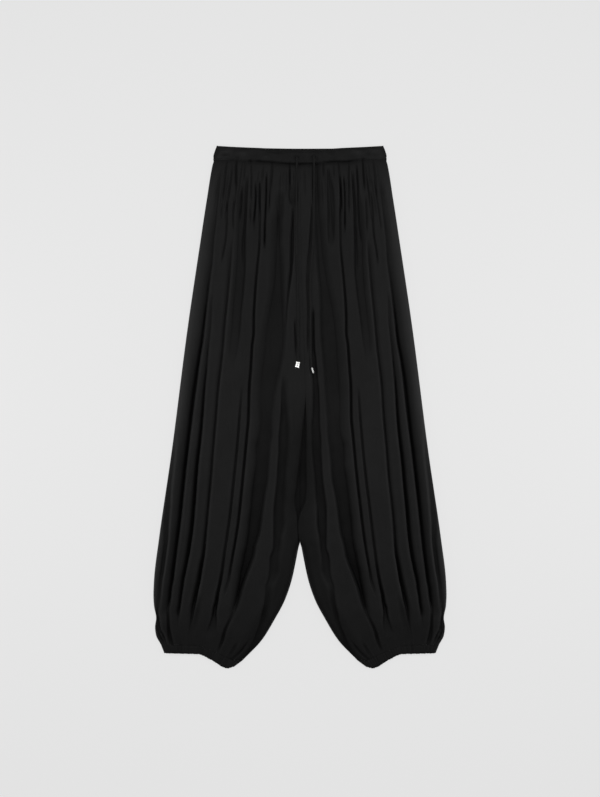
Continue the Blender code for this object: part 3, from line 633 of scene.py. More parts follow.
# The ground and the light, in metres
GROUND_SIZE = 40.0
GROUND_LEVEL = -0.0002
GROUND_ALBEDO = 0.14
GROUND_GLOW = 0.70
WORLD_STRENGTH = 0.16
LAMP_POWER = 12.4
LAMP_PLACE = (0.08, 0.45, 1.95)
LAMP_SIZE = (1.0, 1.0)
SIDE_POWER = 5.0
SIDE_PLACE = (1.05, 0.05, 0.62)
SIDE_SIZE = (0.5, 1.5)

# The photograph's frame, and the camera straight above it
PHOTO_HEIGHT = 1557.0
CAMERA_HEIGHT = 3200.0
CAMERA_Y = 16.0
SENSOR = 36.0
CLIP_END = 100.0


# Curves and small maths


def curve_at(rows, at):
    """Values on the smooth curve through rows of (place, value), with no overshoot."""
    places, values = (np.array(column, float) for column in zip(*rows))
    steps = np.diff(values) / np.diff(places)
    slopes = np.zeros(len(places))
    slopes[0], slopes[-1] = steps[0], steps[-1]
    before, after = steps[:-1], steps[1:]
    alike = before * after > 0
    total = np.where(alike, before + after, 1.0)
    slopes[1:-1] = np.where(alike, 2 * before * after / total, 0.0)
    at = np.clip(np.asarray(at, float), places[0], places[-1])
    i = np.clip(np.searchsorted(places, at, side="right") - 1, 0, len(places) - 2)
    width = places[i + 1] - places[i]
    t = (at - places[i]) / width
    a, b, rise = slopes[i] * width, slopes[i + 1] * width, values[i + 1] - values[i]
    return values[i] + a * t + (3 * rise - 2 * a - b) * t**2 + (a + b - 2 * rise) * t**3


def line_at(rows, at):
    places, values = (np.array(column, float) for column in zip(*rows))
    return np.interp(at, places, values)


def mix(a, b, t):
    return a + (b - a) * t


def smooth(t):
    t = np.clip(t, 0.0, 1.0)
    return t * t * (3 - 2 * t)


def ramp(at, start, length):
    """A soft step, from 0 at start to 1 a length further on."""
    return smooth((at - start) / length)


def closer_at_ends(t, amount):
    """Even steps from 0 to 1, drawn together at both ends."""
    return t - amount * np.sin(2 * math.pi * t) / (2 * math.pi)


def quarter_round(distance, radius):
    """Rises from 0 at an edge to 1 at radius inside it, as a quarter of a circle does."""
    t = 1 - np.clip(distance / radius, 0.0, 1.0)
    return np.sqrt(1 - t * t)


def bell(distance, width):
    return np.exp(-((distance / width) ** 2))


def ripples(out, down, waves, side=0):
    """Soft uneven waves: count sines with wavelengths near across and along."""
    rng = np.random.default_rng(waves.seed + side)
    total = np.zeros_like(out)
    for _ in range(waves.count):
        kx = 2 * math.pi / (waves.across * rng.uniform(*WAVE_SPREAD)) * rng.choice((-1, 1))
        ky = 2 * math.pi / (waves.along * rng.uniform(*WAVE_SPREAD)) * rng.choice((-1, 1))
        total += np.sin(kx * out + ky * down + rng.uniform(0, 2 * math.pi))
    return waves.height * total / math.sqrt(waves.count)


def blurred(grid, rows, columns):
    """A grid averaged over boxes of rows and columns, with its edge values repeated outwards."""
    for axis, reach in ((0, rows), (1, columns)):
        pad = [(0, 0), (0, 0)]
        pad[axis] = (reach + 1, reach)
        total = np.cumsum(np.pad(grid, pad, mode="edge"), axis=axis)
        count = total.shape[axis]
        width = 2 * reach + 1
        upper = np.take(total, range(width, count), axis=axis)
        lower = np.take(total, range(0, count - width), axis=axis)
        grid = (upper - lower) / width
    return grid


def point(x, down, z):
    """A point in metres from millimetres in the garment's own terms."""
    return Vector((x, LENGTH / 2 - down, z)) * MM


def layer(side, out, down, z):
    """A grid of (x, down, z) points on one side of the centre line."""
    return np.stack([side * out, down, z], -1)


def sided(name, side):
    return name + ("_left" if side < 0 else "_right")


# The leg's plan


def ankle_line(share, line):
    through = line_at if line == "seam" else curve_at
    out = through([(r.share, getattr(r, line + "_out")) for r in ANKLE], share)
    down = through([(r.share, getattr(r, line + "_down")) for r in ANKLE], share)
    return out, down


def front_inner_edge(side, down):
    """How far out a front leg's inner edge lies: on the centre seam, then free."""
    free = curve_at(LEFT_INSEAM if side < 0 else RIGHT_INSEAM, down)
    return np.where(down <= CROTCH_DOWN, side * curve_at(CENTRE_SEAM, down), free)


def back_inner_edge(side, down):
    return curve_at(BACK_INSEAM, down)


def leg_edges(inner_edge, side, along):
    inner_down = mix(WAIST_SEAM_DOWN, ANKLE[0].seam_down, along)
    outer_down = mix(WAIST_SEAM_DOWN, ANKLE[-1].seam_down, along)
    return (inner_edge(side, inner_down), inner_down), (curve_at(SIDE_SEAM, outer_down), outer_down)


def leg_points(inner_edge, side, share, along):
    """(out, down) in a leg's plan, a patch between the waist seam, inner edge, ankle and side seam."""
    inner, outer = leg_edges(inner_edge, side, along)
    waist_width = SIDE_SEAM[0][1]
    top = (share * waist_width, WAIST_SEAM_DOWN)
    bottom = ankle_line(share, "seam")
    upper = ((0.0, WAIST_SEAM_DOWN), (waist_width, WAIST_SEAM_DOWN))
    lower = (ankle_line(0.0, "seam"), ankle_line(1.0, "seam"))
    found = []
    for axis in (0, 1):
        edges = mix(inner[axis], outer[axis], share) + mix(top[axis], bottom[axis], along)
        upper_line = mix(upper[0][axis], upper[1][axis], share)
        lower_line = mix(lower[0][axis], lower[1][axis], share)
        found.append(edges - mix(upper_line, lower_line, along))
    return found


def leg_grid(inner_edge, side, edge_columns, count, rows):
    """Shares across and along for every point of a leg: close columns at both edges, even ones between."""
    along = closer_at_ends(np.linspace(0, 1, rows)[:, None], LEG_ROWS_CLOSER)
    inner, outer = leg_edges(inner_edge, side, along)
    width = outer[0] - inner[0]
    near = np.array(edge_columns)[None, :] / width
    middle = np.linspace(0, 1, count + 2)[None, 1:-1]
    between = mix(near[:, -1:], 1 - near[:, -1:], middle)
    share = np.hstack([near, between, 1 - near[:, ::-1]])
    return share, along + 0 * share, width


# The folds


def press_crease(kept, rim_highlight, out, down, crease):
    """Lowers the kept share of the cloth's height between a crease's borders and adds its rim, with a painted
    highlight.
    """
    downs, nears, fars, depths = zip(*crease.rows)
    near = curve_at(list(zip(downs, nears)), down) + crease.inset
    far = curve_at(list(zip(downs, fars)), down) - crease.inset
    depth = curve_at(list(zip(downs, depths)), down) * ((down > downs[0]) & (down < downs[-1]))
    wall = smooth((out - near + crease.near_wall) / crease.near_wall)
    slope = (1 - np.clip((out - far) / crease.far_wall, 0.0, 1.0)) ** FAR_SLOPE
    rim = crease.rim * depth * bell(out - near + crease.near_wall + RIM_OFFSET, RIM_WIDTH)
    return kept * (1 - depth * wall * slope + rim), rim_highlight + rim


def press_gather(kept, out, down, gather):
    start, end = gather.route[0][0] - GATHER_LEAD, gather.route[-1][0] + GATHER_LEAD
    lead = min(GATHER_TAPER, GATHER_TAPER_SHARE * (end - start))
    fade = ramp(down, start, lead) * smooth((end - down) / lead)
    off = out - curve_at(gather.route, down)
    wide = np.where(off > 0, GATHER_FAR, GATHER_NEAR) * gather.width * mix(GATHER_ENDS, 1.0, fade)
    return kept * (1 - gather.depth * fade * bell(off, wide))


def fine_gathers(seed):
    """Faint gathers and low ridges between the listed ones."""
    rng = np.random.default_rng(seed)
    made = []
    for k in range(FINE_GATHERS):
        out = mix(*FINE_OUT, (k + rng.uniform(*FINE_JITTER)) / FINE_GATHERS)
        start = rng.uniform(*FINE_START)
        end = start + rng.uniform(*FINE_LENGTH)
        drift = FINE_DRIFT * out * (end - start)
        width, depth = rng.uniform(*FINE_WIDTH), rng.uniform(*FINE_DEPTH)
        made.append(Gather(width, depth, ((start, out), (end, out + drift))))
    return made


def press_ankle_gathers(kept, share, up, seed):
    """Faint gathers across the ankle casing's seam: up is the distance from it along the leg."""
    rng = np.random.default_rng(seed)
    for k in range(ANKLE_GATHERS):
        place = (k + rng.uniform(*ANKLE_JITTER)) / ANKLE_GATHERS
        rise = rng.uniform(*ANKLE_RISE)
        depth = rng.uniform(*ANKLE_DEPTH)
        lean = rng.uniform(-ANKLE_LEAN, ANKLE_LEAN)
        off = share - place - lean * up / rise
        kept = kept * (1 - depth * smooth(1 - up / rise) * bell(off, ANKLE_WIDTH))
    return kept


def front_shares(side, share, along, out, down):
    """The share of the cloth's full height that its folds leave, and the painted highlight along their rims.
    """
    kept, rim_highlight = np.ones_like(out), np.zeros_like(out)
    wander = ripples(0 * down, down, WANDER, side)
    for crease in CREASES + (LEFT_CREASES if side < 0 else RIGHT_CREASES):
        kept, rim_highlight = press_crease(kept, rim_highlight, out + wander, down, crease)
    for gather in LEFT_GATHERS if side < 0 else RIGHT_GATHERS:
        kept = press_gather(kept, out, down, gather)
    for gather in fine_gathers(FINE_SEED + side):
        kept = press_gather(kept, out, down, gather)
    return press_ankle_gathers(kept, share, (1 - along) * LEG_RUN, ANKLE_SEED + side), rim_highlight


# The cloth's shells


def placed(name, data):
    """An object of that data, linked into the scene."""
    made = bpy.data.objects.new(name, data)
    bpy.context.collection.objects.link(made)
    return made


def shell(name, outer, inner, painted_light, closed_rows=False):
    """A closed shell between two grids of points. closed_rows joins the ends of each row into a ring."""
    rows, columns = outer.shape[:2]
    count = rows * columns
    index = np.arange(count).reshape(rows, columns)
    if closed_rows:
        index = np.hstack([index, index[:, :1]])
    quads = np.stack([index[:-1, :-1], index[:-1, 1:], index[1:, 1:], index[1:, :-1]], -1).reshape(-1, 4)
    faces = [quads, quads[:, ::-1] + count]
    ends = [(index[0, :-1], index[0, 1:]), (index[-1, 1:], index[-1, :-1])]
    if not closed_rows:
        ends += [(index[1:, 0], index[:-1, 0]), (index[:-1, -1], index[1:, -1])]
    for a, b in ends:
        faces.append(np.stack([b, a, a + count, b + count], -1))
    faces = np.vstack(faces)
    points = np.vstack([outer.reshape(-1, 3), inner.reshape(-1, 3)])
    points = np.column_stack([points[:, 0], LENGTH / 2 - points[:, 1], points[:, 2]]) * MM
    data = bpy.data.meshes.new(name)
    data.from_pydata(points.tolist(), [], faces.tolist())
    solid = bmesh.new()
    solid.from_mesh(data)
    bmesh.ops.recalc_face_normals(solid, faces=solid.faces)
    if solid.calc_volume(signed=True) < 0:
        bmesh.ops.reverse_faces(solid, faces=solid.faces)
    solid.to_mesh(data)
    solid.free()
    data.shade_smooth()
    data.set_sharp_from_angle(angle=math.radians(SHARP_ANGLE))
    # Each point's painted light and shade, which the cloth's colour follows
    values = np.tile(np.clip(painted_light * PAINTED_LIGHT_SHARE, 0.0, 1.0).reshape(-1), 2)
    data.attributes.new("painted_light", "FLOAT", "POINT").data.foreach_set("value", values)
    return placed(name, data)


def surface_normals(grid):
    """Unit normals of a grid of (x, down, z) points, pointing up."""
    across = np.gradient(grid, axis=1)
    along = np.gradient(grid, axis=0)
    normal = np.cross(along, across)
    normal = normal / np.linalg.norm(normal, axis=2, keepdims=True)
    return np.where(normal[:, :, 2:] < 0, -normal, normal)


def relief(height, rows, columns, full):
    """From 0 in a hollow to 1 on a ridge, with 0.5 where the cloth is even."""
    return np.clip(0.5 + (height - blurred(height, rows, columns)) / full, 0.0, 1.0)


def dress(made, material, slot, *nodes):
    """Gives a piece its material and its body, and hides the solids that it stands for; slot is not used."""
    made.data.materials.append(material)
    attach(made, "root")
    if nodes:
        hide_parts(*nodes)
    return made


def front_height(side, along, out, down, kept):
    """Height of the front's outer face above the ground."""
    run = along * LEG_RUN
    bank = 1 - ramp(out - front_inner_edge(side, down), *SLIT_BANK)
    sunk = 1 - SLIT_SINK * ramp(down, *CROTCH_EASE) * bank
    loft = curve_at(LOFT, run) + ripples(out, down, LOFT_WAVES, side) * ramp(run, 0, LOFT_WAVES_START)
    groove = SEAM_GROOVE * line_at(SEAM_DEPTH, side * out) * bell(run, SEAM_GROOVE_WIDTH)
    height = VALLEY_FLOOR + (loft - VALLEY_FLOOR) * kept**DEPTH_CURVE * sunk - groove
    free = ramp(height, VALLEY_FLOOR, FREE_RISE)
    for waves in FRONT_WAVES:
        height = height + free * ripples(out, down, waves, side)
    return height


def front_tone(side, side_distance, out, down, height, kept, rim_highlight):
    """How pale the front is: painted shade in folds and beside the slit, painted highlights on rims and the
    side.
    """
    strip = ramp(down, *STRIP_START) * (1 - ramp(out, front_inner_edge(side, down), STRIP_WIDTH))
    pale = mix(SIDE_PALE, SIDE_PALE_LOW, ramp(down, *SIDE_PALE_FADE))
    rim = ramp(down, 0, SIDE_PALE_START) * pale * bell(side_distance, SIDE_PALE_WIDTH)
    middle = ramp(down, *MIDDLE_START) * (1 - ramp(down, *CROTCH_EASE))
    shade = middle * (MIDDLE_SHADE + PANEL_SHADE * bell(out - PANEL_OUT, PANEL_WIDTH))
    painted_light = mix(kept, relief(height, *RELIEF_REACH, RELIEF_FULL), RELIEF_SHARE)
    return painted_light * (1 - STRIP_SHADE * strip) * (1 - shade) + RIM_PALE * rim_highlight + rim


def front_leg(side, material):
    name = sided("front", side)
    share, along, width = leg_grid(front_inner_edge, side, EDGE_COLUMNS, FRONT_COLUMNS, LEG_ROWS)
    out, down = leg_points(front_inner_edge, side, share, along)
    bent = line_at(SEAM_LINE, side * out) - WAIST_SEAM_DOWN
    down = down + bent * (1 - ramp(along * LEG_RUN, 0, SEAM_BEND_RUN))
    kept, rim_highlight = front_shares(side, share, along, out, down)
    height = front_height(side, along, out, down, kept)
    side_distance = (1 - share) * width
    painted_light = front_tone(side, side_distance, out, down, height, kept, rim_highlight)
    height = mix(EDGE_HIGH, height, quarter_round(side_distance, EDGE_ROUND))
    closed = ramp(down, *SLIT_CLOSES) * (1 - ramp(down, *SLIT_OPENS))
    parted = ramp(down, CROTCH_DOWN, SLIT_PARTS) * (1 - SLIT_CLOSED * closed)
    edge = mix(SLIT_FLOOR, EDGE_HIGH, ramp(down - FORK_DOWN, *FORK_SETTLES))
    turned = mix(edge, height, quarter_round(share * width, INNER_ROUND))
    height = mix(height, turned, parted)
    out = out.copy()
    out[:, 0] += SEAM_GAP / 2
    outer = layer(side, out, down, height)
    inward = surface_normals(outer) * SHELL
    inward[:, :, 2] = np.maximum(inward[:, :, 2], SHELL_LEAST)
    inward[:, -1] = (side * SHELL, 0, 0)
    seam = parted[:, 0]
    inward[:, 0] = np.stack([-side * SHELL * seam, 0 * seam, SHELL * (1 - seam)], -1)
    inner = outer - inward
    inner[:, :, 2] = np.maximum(inner[:, :, 2], INNER_LOWEST)
    return dress(shell("cloth_" + name, outer, inner, painted_light), material, "cloth", name)


def back_height(side, share, width, out, down):
    """Height of the back's underside: flat, lifted a little in shallow troughs, curled up at its edges."""
    troughs = ripples(out, down, BACK_WAVES, side)
    lifted = BACK_LIFT * smooth(troughs - BACK_LIFT_FROM) * ramp(down, *BACK_LIFT_START)
    inside = ramp(np.minimum(share, 1 - share) * width, 0, BACK_FLAT_EDGE)
    curl = ramp(down, FORK_DOWN, FORK_CURL)
    inner = EDGE_LOW * curl * (1 - quarter_round(share * width, UNDER_ROUND))
    outer = EDGE_LOW * (1 - quarter_round((1 - share) * width, UNDER_ROUND))
    return lifted * inside + inner + outer


def back_leg(side, material):
    name = sided("back", side)
    share, along, width = leg_grid(back_inner_edge, side, UNDER_COLUMNS, BACK_COLUMNS, BACK_ROWS)
    out, down = leg_points(back_inner_edge, side, share, along)
    down = down - BACK_TUCK * (1 - ramp(along * LEG_RUN, 0, BACK_TUCK_RUN))
    height = back_height(side, share, width, out, down)
    out = out.copy()
    out[:, 0] -= SEAM_GAP
    under = layer(side, out, down, height)
    upward = surface_normals(under) * SHELL
    curl = ramp(down[:, 0], FORK_DOWN, FORK_CURL)
    upward[:, -1] = (-side * SHELL, 0, 0)
    upward[:, 0] = np.stack([side * SHELL * curl, 0 * curl, SHELL * (1 - curl)], -1)
    # Painted shade: darker where the edges curl up, nearly black where the back shows through the slit
    slit = ramp(down, CROTCH_DOWN, SLIT_DARK_START) * bell(share * width, SLIT_DARK_WIDTH)
    slit = slit * (1 - sum(amount * ramp(down, start, length) for amount, start, length in SLIT_DARK_FADES))
    painted_light = (BACK_TONE - BACK_EDGE_SHADE * height / EDGE_LOW) * (1 - SLIT_DARK * slit)
    return dress(shell("cloth_" + name, under, under + upward, painted_light), material, "cloth", name)


def ankle_casing(side, material):
    """The elastic's casing: a ring pressed flat, finely gathered on top, with a ruffled hem."""
    name = sided("ankle_casing", side)
    rng = np.random.default_rng(CASING_SEED + side)
    turn = np.array(CASING_TURN)
    share = np.concatenate([turn, np.linspace(*CASING_FLAT, CASING_COLUMNS), 1 - turn[::-1]])
    part = np.linspace(0, 1, CASING_ROWS)[:, None]
    seam_out, seam_down = ankle_line(share, "seam")
    hem_out, hem_down = ankle_line(share, "hem")
    phase = np.cumsum(rng.uniform(*RUFFLE_STEP, len(share)))
    ruffle = sum(np.sin(phase * pace + start) * height for pace, start, height in RUFFLE_SINES)
    hem_down = hem_down + RUFFLE_DOWN * ruffle
    out = mix(seam_out, hem_out, part)
    down = mix(seam_down + SEAM_GAP, hem_down, part)
    width = seam_out[-1] - seam_out[0]
    distance = np.minimum(share, 1 - share) * width
    kept = press_ankle_gathers(np.ones_like(out), share[None, :], CASING_RISE * part, ANKLE_SEED + side)
    hem = ramp(part, *HEM_PART)
    crown = CASING_CROWN - CASING_SLOPE * part
    crown = VALLEY_FLOOR + (crown - VALLEY_FLOOR) * kept - HEM_DROP * hem
    crown = crown + RUFFLE_UP * ruffle * part
    crown = crown - STITCH_DENT * bell(part - CASING_DENT_PART, CASING_DENT_WIDTH)
    top_z = mix(EDGE_LOW, crown, quarter_round(distance, UNDER_ROUND))
    low_z = EDGE_LOW * (1 - quarter_round(distance, UNDER_ROUND)) + 0 * part
    centre_z = (top_z + low_z) / 2
    top = layer(side, out, down, top_z)
    low = layer(side, out, down, low_z)[:, -2:0:-1]
    top_in = layer(side, out, down, np.maximum(top_z - CASING_WALL, centre_z + HALF_HOLLOW))
    low_in = layer(side, out, down, np.minimum(low_z + CASING_WALL, centre_z - HALF_HOLLOW))[:, -2:0:-1]
    ring_in = np.concatenate([top_in, low_in], 1)
    middle = side * (seam_out[0] + seam_out[-1]) / 2
    ring_in[:, :, 0] = middle + (ring_in[:, :, 0] - middle) * (1 - CASING_WALL / (width / 2))
    # Painted shade: darker in the gathers and towards the hem; the underside has an even tone
    painted_light = CASING_TONE + CASING_CONTRAST * (kept - CASING_EVEN) - HEM_SHADE * hem
    painted_light = np.concatenate([painted_light, CASING_UNDER_TONE + 0 * low[:, :, 2]], 1)
    made = shell("cloth_" + name, np.concatenate([top, low], 1), ring_in, painted_light, closed_rows=True)
    return dress(made, material, "cloth", name)


def band_pinches(x, below):
    """Small dents along the band's seam, where the gathers below it start."""
    pinch = 0 * x
    for side, gathers in ((-1, LEFT_GATHERS), (1, RIGHT_GATHERS)):
        for gather in gathers:
            start, out = gather.route[0]
            if start < PINCH_START:
                across = bell(x - side * out, PINCH_WIDTH)
                pinch = pinch + PINCH * abs(gather.depth) * across * bell(below, PINCH_RISE)
    return pinch


def front_band_form(x, down, above, below, distance):
    """The front band's outer and inner heights and its painted light, with its puffs, dents and two holes."""
    rounding = quarter_round(above, BAND_ROUND)
    depth = line_at(SEAM_DEPTH, x)
    puff = sum(ripples(x, down, waves) for waves in BAND_WAVES)
    for p in PUFFS:
        puff = puff + p.lift * bell(x - p.x, p.wide * PUFF_REACH) * bell(down - p.down, p.tall * PUFF_REACH)
    pinch = band_pinches(x, below)
    crown = mix(BAND_CROWN, SEAM_CROWN, smooth(1 - below / BAND_SLOPE))
    crown = crown - SEAM_GROOVE * depth * bell(below, BAND_GROOVE_WIDTH)
    crown = crown + puff * ramp(below, 0, PUFF_EDGE) - pinch
    crown = crown - STITCH_DENT * bell(above - STITCH_BELOW_TOP, STITCH_DENT_WIDTH)
    upper = mix(BAND_EDGE_HIGH, crown, rounding)
    upper = mix(BAND_END_HIGH, upper, quarter_round(distance, BAND_END_ROUND))
    lower = np.minimum(upper - BAND_LEAST, mix(*BAND_INSIDE, rounding))
    lower = np.maximum(lower, BAND_INSIDE_LOWEST)
    holes = (CORD_LEFT[0], CORD_RIGHT[0])
    hole = sum(bell(np.hypot(x - hole_x, down - hole_down), HOLE_REACH) for hole_x, hole_down in holes)
    fold = BAND_FOLD_SHADE * bell(above, BAND_FOLD_WIDTH) * (np.abs(x) < BAND_FOLD_OUT)
    # Painted light: paler puffs, and painted shade at the seam, the top edge, the pinches, the fold and the
    # holes
    painted_light = BAND_TONE + PUFF_PALE * puff - SEAM_SHADE * depth * bell(below, SEAM_SHADE_WIDTH)
    painted_light = painted_light - BAND_EDGE_SHADE * (1 - rounding) - PINCH_SHADE * pinch - fold - HOLE_SHADE * hole
    painted_light = painted_light - BAND_MIDDLE_SHADE * bell(x, BAND_MIDDLE_WIDTH)
    painted_light = painted_light + BAND_END_PALE * ramp(np.abs(x), *BAND_END_START)
    return upper, lower, painted_light


def back_band_form(above, below, distance):
    """The back band's outer and inner heights and its tone, with painted shade at its edges: the inner face
    lies on the ground.
    """
    rounding = quarter_round(above, BAND_ROUND) * quarter_round(below, BAND_ROUND)
    lower = EDGE_LOW * (1 - quarter_round(distance, UNDER_ROUND)) + BACK_BAND_EDGE * (1 - rounding)
    thick = BACK_BAND_LEAST + BACK_BAND_SWELL * rounding * quarter_round(distance, BAND_END_ROUND)
    return lower + thick, lower, BACK_BAND_TONE + BACK_BAND_PALE * rounding


def waistband(front, material):
    """One half of the drawstring's casing: folded cloth, a little puffed, with rounded edges."""
    name = "waistband_front" if front else "waistband_back"
    across = np.linspace(-1, 1, BAND_COLUMNS)
    across = np.sign(across) * (1 - (1 - np.abs(across)) ** BAND_COLUMNS_CLOSER)
    part = closer_at_ends(np.linspace(0, 1, BAND_ROWS)[:, None], BAND_ROWS_CLOSER)
    top_down = curve_at(FRONT_TOP if front else BACK_TOP, across * BAND_TOP_OUT)
    low = line_at(SEAM_LINE, across * SIDE_SEAM[0][1]) if front else WAIST_SEAM_DOWN + 0 * across
    down = mix(top_down, low - SEAM_GAP, part)
    x = across * curve_at(BAND_SIDE, down * WAIST_SEAM_DOWN / low)
    distance = (1 - np.abs(across)) * BAND_TOP_OUT
    above, below = down - top_down, low - SEAM_GAP - down
    if front:
        upper, lower, painted_light = front_band_form(x, down, above, below, distance)
    else:
        upper, lower, painted_light = back_band_form(above, below, distance)
    outer, inner = layer(1, x, down, upper), layer(1, x, down, lower)
    return dress(shell("cloth_" + name, outer, inner, painted_light), material, "cloth", name)


# The drawstring and the stitches


def tree_of(objects):
    corners, faces = [], []
    for made in objects:
        first = len(corners)
        corners += [v.co.copy() for v in made.data.vertices]
        faces += [[first + i for i in face.vertices] for face in made.data.polygons]
    return BVHTree.FromPolygons(corners, faces)


def top_of(tree, x, down, reach):
    """Highest cloth within reach of a place, in millimetres above the ground."""
    found = []
    for dx in (-reach, 0.0, reach):
        for dy in (-reach, 0.0, reach):
            hit = tree.ray_cast(point(x + dx, down + dy, ABOVE_ALL), Vector((0, 0, -1)))[0]
            if hit:
                found.append(hit.z / MM)
    return max(found)


def cord_route(rows, tree):
    """The cord's centreline: up out of its hole, over the band's edge and down on the folds."""
    radius = CORD_DIAMETER / 2
    downs = np.linspace(rows[0][1], rows[-1][1], CORD_POINTS)[1:]
    xs = curve_at([(down, x) for x, down in rows], downs)
    level = np.array([top_of(tree, x, down, radius) for x, down in zip(xs, downs)]) + radius + SEAM_GAP
    for _ in range(CORD_EASINGS):
        eased = level.copy()
        eased[1:-1] = 0.25 * level[:-2] + 0.5 * level[1:-1] + 0.25 * level[2:]
        level = np.maximum(level - CORD_SAG, eased)
    x, down = rows[0]
    high = level[0]
    rise = [(x, down, CORD_ROOT), (x, down, mix(CORD_ROOT, high, 0.5))]
    turn = (x, down + CORD_TURN_DOWN, high - CORD_TURN_LOW)
    return rise + [turn] + list(zip(xs, downs, level))


def drawstring(side_name, rows, tree, material):
    route = [point(*p) for p in cord_route(rows, tree)]
    curve = bpy.data.curves.new("cord_" + side_name, "CURVE")
    curve.dimensions = "3D"
    curve.bevel_depth = CORD_DIAMETER / 2 * MM
    curve.bevel_resolution = 5
    curve.use_fill_caps = True
    spline = curve.splines.new("POLY")
    spline.points.add(len(route) - 1)
    for target, place in zip(spline.points, route):
        target.co = (*place, 1.0)
    made = dress(placed("cord_" + side_name, curve), material, "cord", "drawstring_" + side_name)
    length = sum((b - a).length for a, b in zip(route, route[1:]))
    return made, length, route[0]


def smooth_mesh(name, shape):
    """A smooth-shaded mesh from a bmesh, which is freed."""
    data = bpy.data.meshes.new(name)
    shape.to_mesh(data)
    shape.free()
    data.shade_smooth()
    return data


def metal_tip(side_name, end, lean, on_edge, tree, material):
    """A small folded strip of metal, crimped on the cord: waisted, with grooves pressed across both faces."""
    shape = bmesh.new()
    bmesh.ops.create_cube(shape, size=1)
    bmesh.ops.scale(shape, vec=Vector((TIP_WIDTH, TIP_LENGTH, TIP_THICKNESS)) * MM, verts=shape.verts)
    bmesh.ops.subdivide_edges(shape, edges=shape.edges[:], cuts=TIP_CUTS, use_grid_fill=True)
    for v in shape.verts:
        t = v.co.y / (TIP_LENGTH * MM / 2)
        s = v.co.x / (TIP_WIDTH * MM / 2)
        v.co.x *= 1 - TIP_WAIST * (1 - t * t)
        grooves = sum(bell(t - place, TIP_GROOVE_WIDTH) for place in TIP_GROOVES)
        v.co.z *= 1 - TIP_FOLD * bell(s, TIP_FOLD_WIDTH) - TIP_GROOVE_DEPTH * grooves - TIP_CROWN * s * s
    made = placed("crimped_tip_" + side_name, smooth_mesh("crimped_tip_" + side_name, shape))
    bevel = made.modifiers.new("rounded", "BEVEL")
    bevel.width = TIP_ROUND * MM
    bevel.segments = 3
    bevel.limit_method = "ANGLE"
    bevel.angle_limit = math.radians(50)
    way = Vector((math.sin(math.radians(lean)), -math.cos(math.radians(lean))))
    reach = TIP_LENGTH / 2 + TIP_GAP
    x, down = end[0] + way.x * reach, end[1] - way.y * reach
    half_height = (TIP_WIDTH if on_edge else TIP_THICKNESS) / 2
    rest = top_of(tree, x, down, TIP_LENGTH / 2) + half_height + SEAM_GAP
    made.location = point(x, down, rest)
    turn = math.atan2(way.y, way.x) - math.pi / 2
    made.rotation_euler = Euler((0.0, math.radians(TIP_TILT) if on_edge else 0.0, turn))
    return dress(made, material, "tip_metal", "cord_tip_" + side_name)


def stitches(name, places, material):
    """Short stitches of thread, one at each place of (x, down, z, angle), joined into one mesh."""
    shape = bmesh.new()
    half = (STITCH_LENGTH / 2, STITCH_WIDTH / 2, STITCH_HEIGHT / 2)
    ring = [(STITCH_SHOULDER, b, c) for b, c in ((1, 0), (0, 1), (-1, 0), (0, -1))]
    corners = [(-1, 0, 0)] + [(-a, b, c) for a, b, c in ring] + ring + [(1, 0, 0)]
    for x, down, z, angle in places:
        turn = Matrix.Rotation(angle, 4, "Z")
        made = []
        for corner in corners:
            local = Vector([c * h * MM for c, h in zip(corner, half)])
            made.append(shape.verts.new(point(x, down, z) + turn @ local))
        for k in range(4):
            n = (k + 1) % 4
            shape.faces.new((made[0], made[1 + n], made[1 + k]))
            shape.faces.new((made[1 + k], made[1 + n], made[5 + n], made[5 + k]))
            shape.faces.new((made[9], made[5 + k], made[5 + n]))
    bmesh.ops.recalc_face_normals(shape, faces=shape.faces)
    return dress(placed(name, smooth_mesh(name, shape)), material, "cloth")


def stitch_row(tree, line):
    """Places for stitches along a line of (x, down) points, on top of the cloth."""
    places = []
    spare = 0.0
    for (x0, d0), (x1, d1) in zip(line, line[1:]):
        span = math.hypot(x1 - x0, d1 - d0)
        at = spare
        while at < span:
            x, down = mix(x0, x1, at / span), mix(d0, d1, at / span)
            places.append((x, down, top_of(tree, x, down, 0.0), math.atan2(d0 - d1, x1 - x0)))
            at += STITCH_STEP
        spare = at - span
    return places


def eyelet(name, x, down, tree, material):
    """A worked hole: short stitches of thread side by side round the place where the cord comes out."""
    places = []
    radius = EYELET_RADIUS + STITCH_LENGTH / 2
    for k in range(EYELET_STITCHES):
        angle = 2 * math.pi * k / EYELET_STITCHES
        ex, ed = x + radius * math.cos(angle), down - radius * math.sin(angle)
        places.append((ex, ed, top_of(tree, ex, ed, 0.0) + EYELET_RISE, angle))
    return stitches(name, places, material)


def sew(band, casings, thread):
    """Rows of stitches beside the band's seam and top edge, and beside each ankle casing's seam."""
    tree = tree_of([band])
    xs = np.linspace(-STITCH_SEAM_OUT, STITCH_SEAM_OUT, STITCH_LINE_POINTS)
    above_seam = [(x, d - STITCH_ABOVE_SEAM) for x, d in zip(xs, line_at(SEAM_LINE, xs))]
    xs = np.linspace(-STITCH_TOP_OUT, STITCH_TOP_OUT, STITCH_LINE_POINTS)
    top = [(x, d + STITCH_BELOW_TOP) for x, d in zip(xs, curve_at(FRONT_TOP, xs))]
    stitches("stitches_waist", stitch_row(tree, above_seam) + stitch_row(tree, top), thread)
    for side, casing in zip((-1, 1), casings):
        share = np.linspace(*STITCH_CASING_SHARES, STITCH_CASING_POINTS)
        ends = zip(ankle_line(share, "seam"), ankle_line(share, "hem"))
        out, down = (mix(seam, hem, STITCH_IN_CASING) for seam, hem in ends)
        places = stitch_row(tree_of([casing]), list(zip(side * out, down)))
        stitches(sided("stitches_ankle", side), places, thread)
    return tree


# Materials


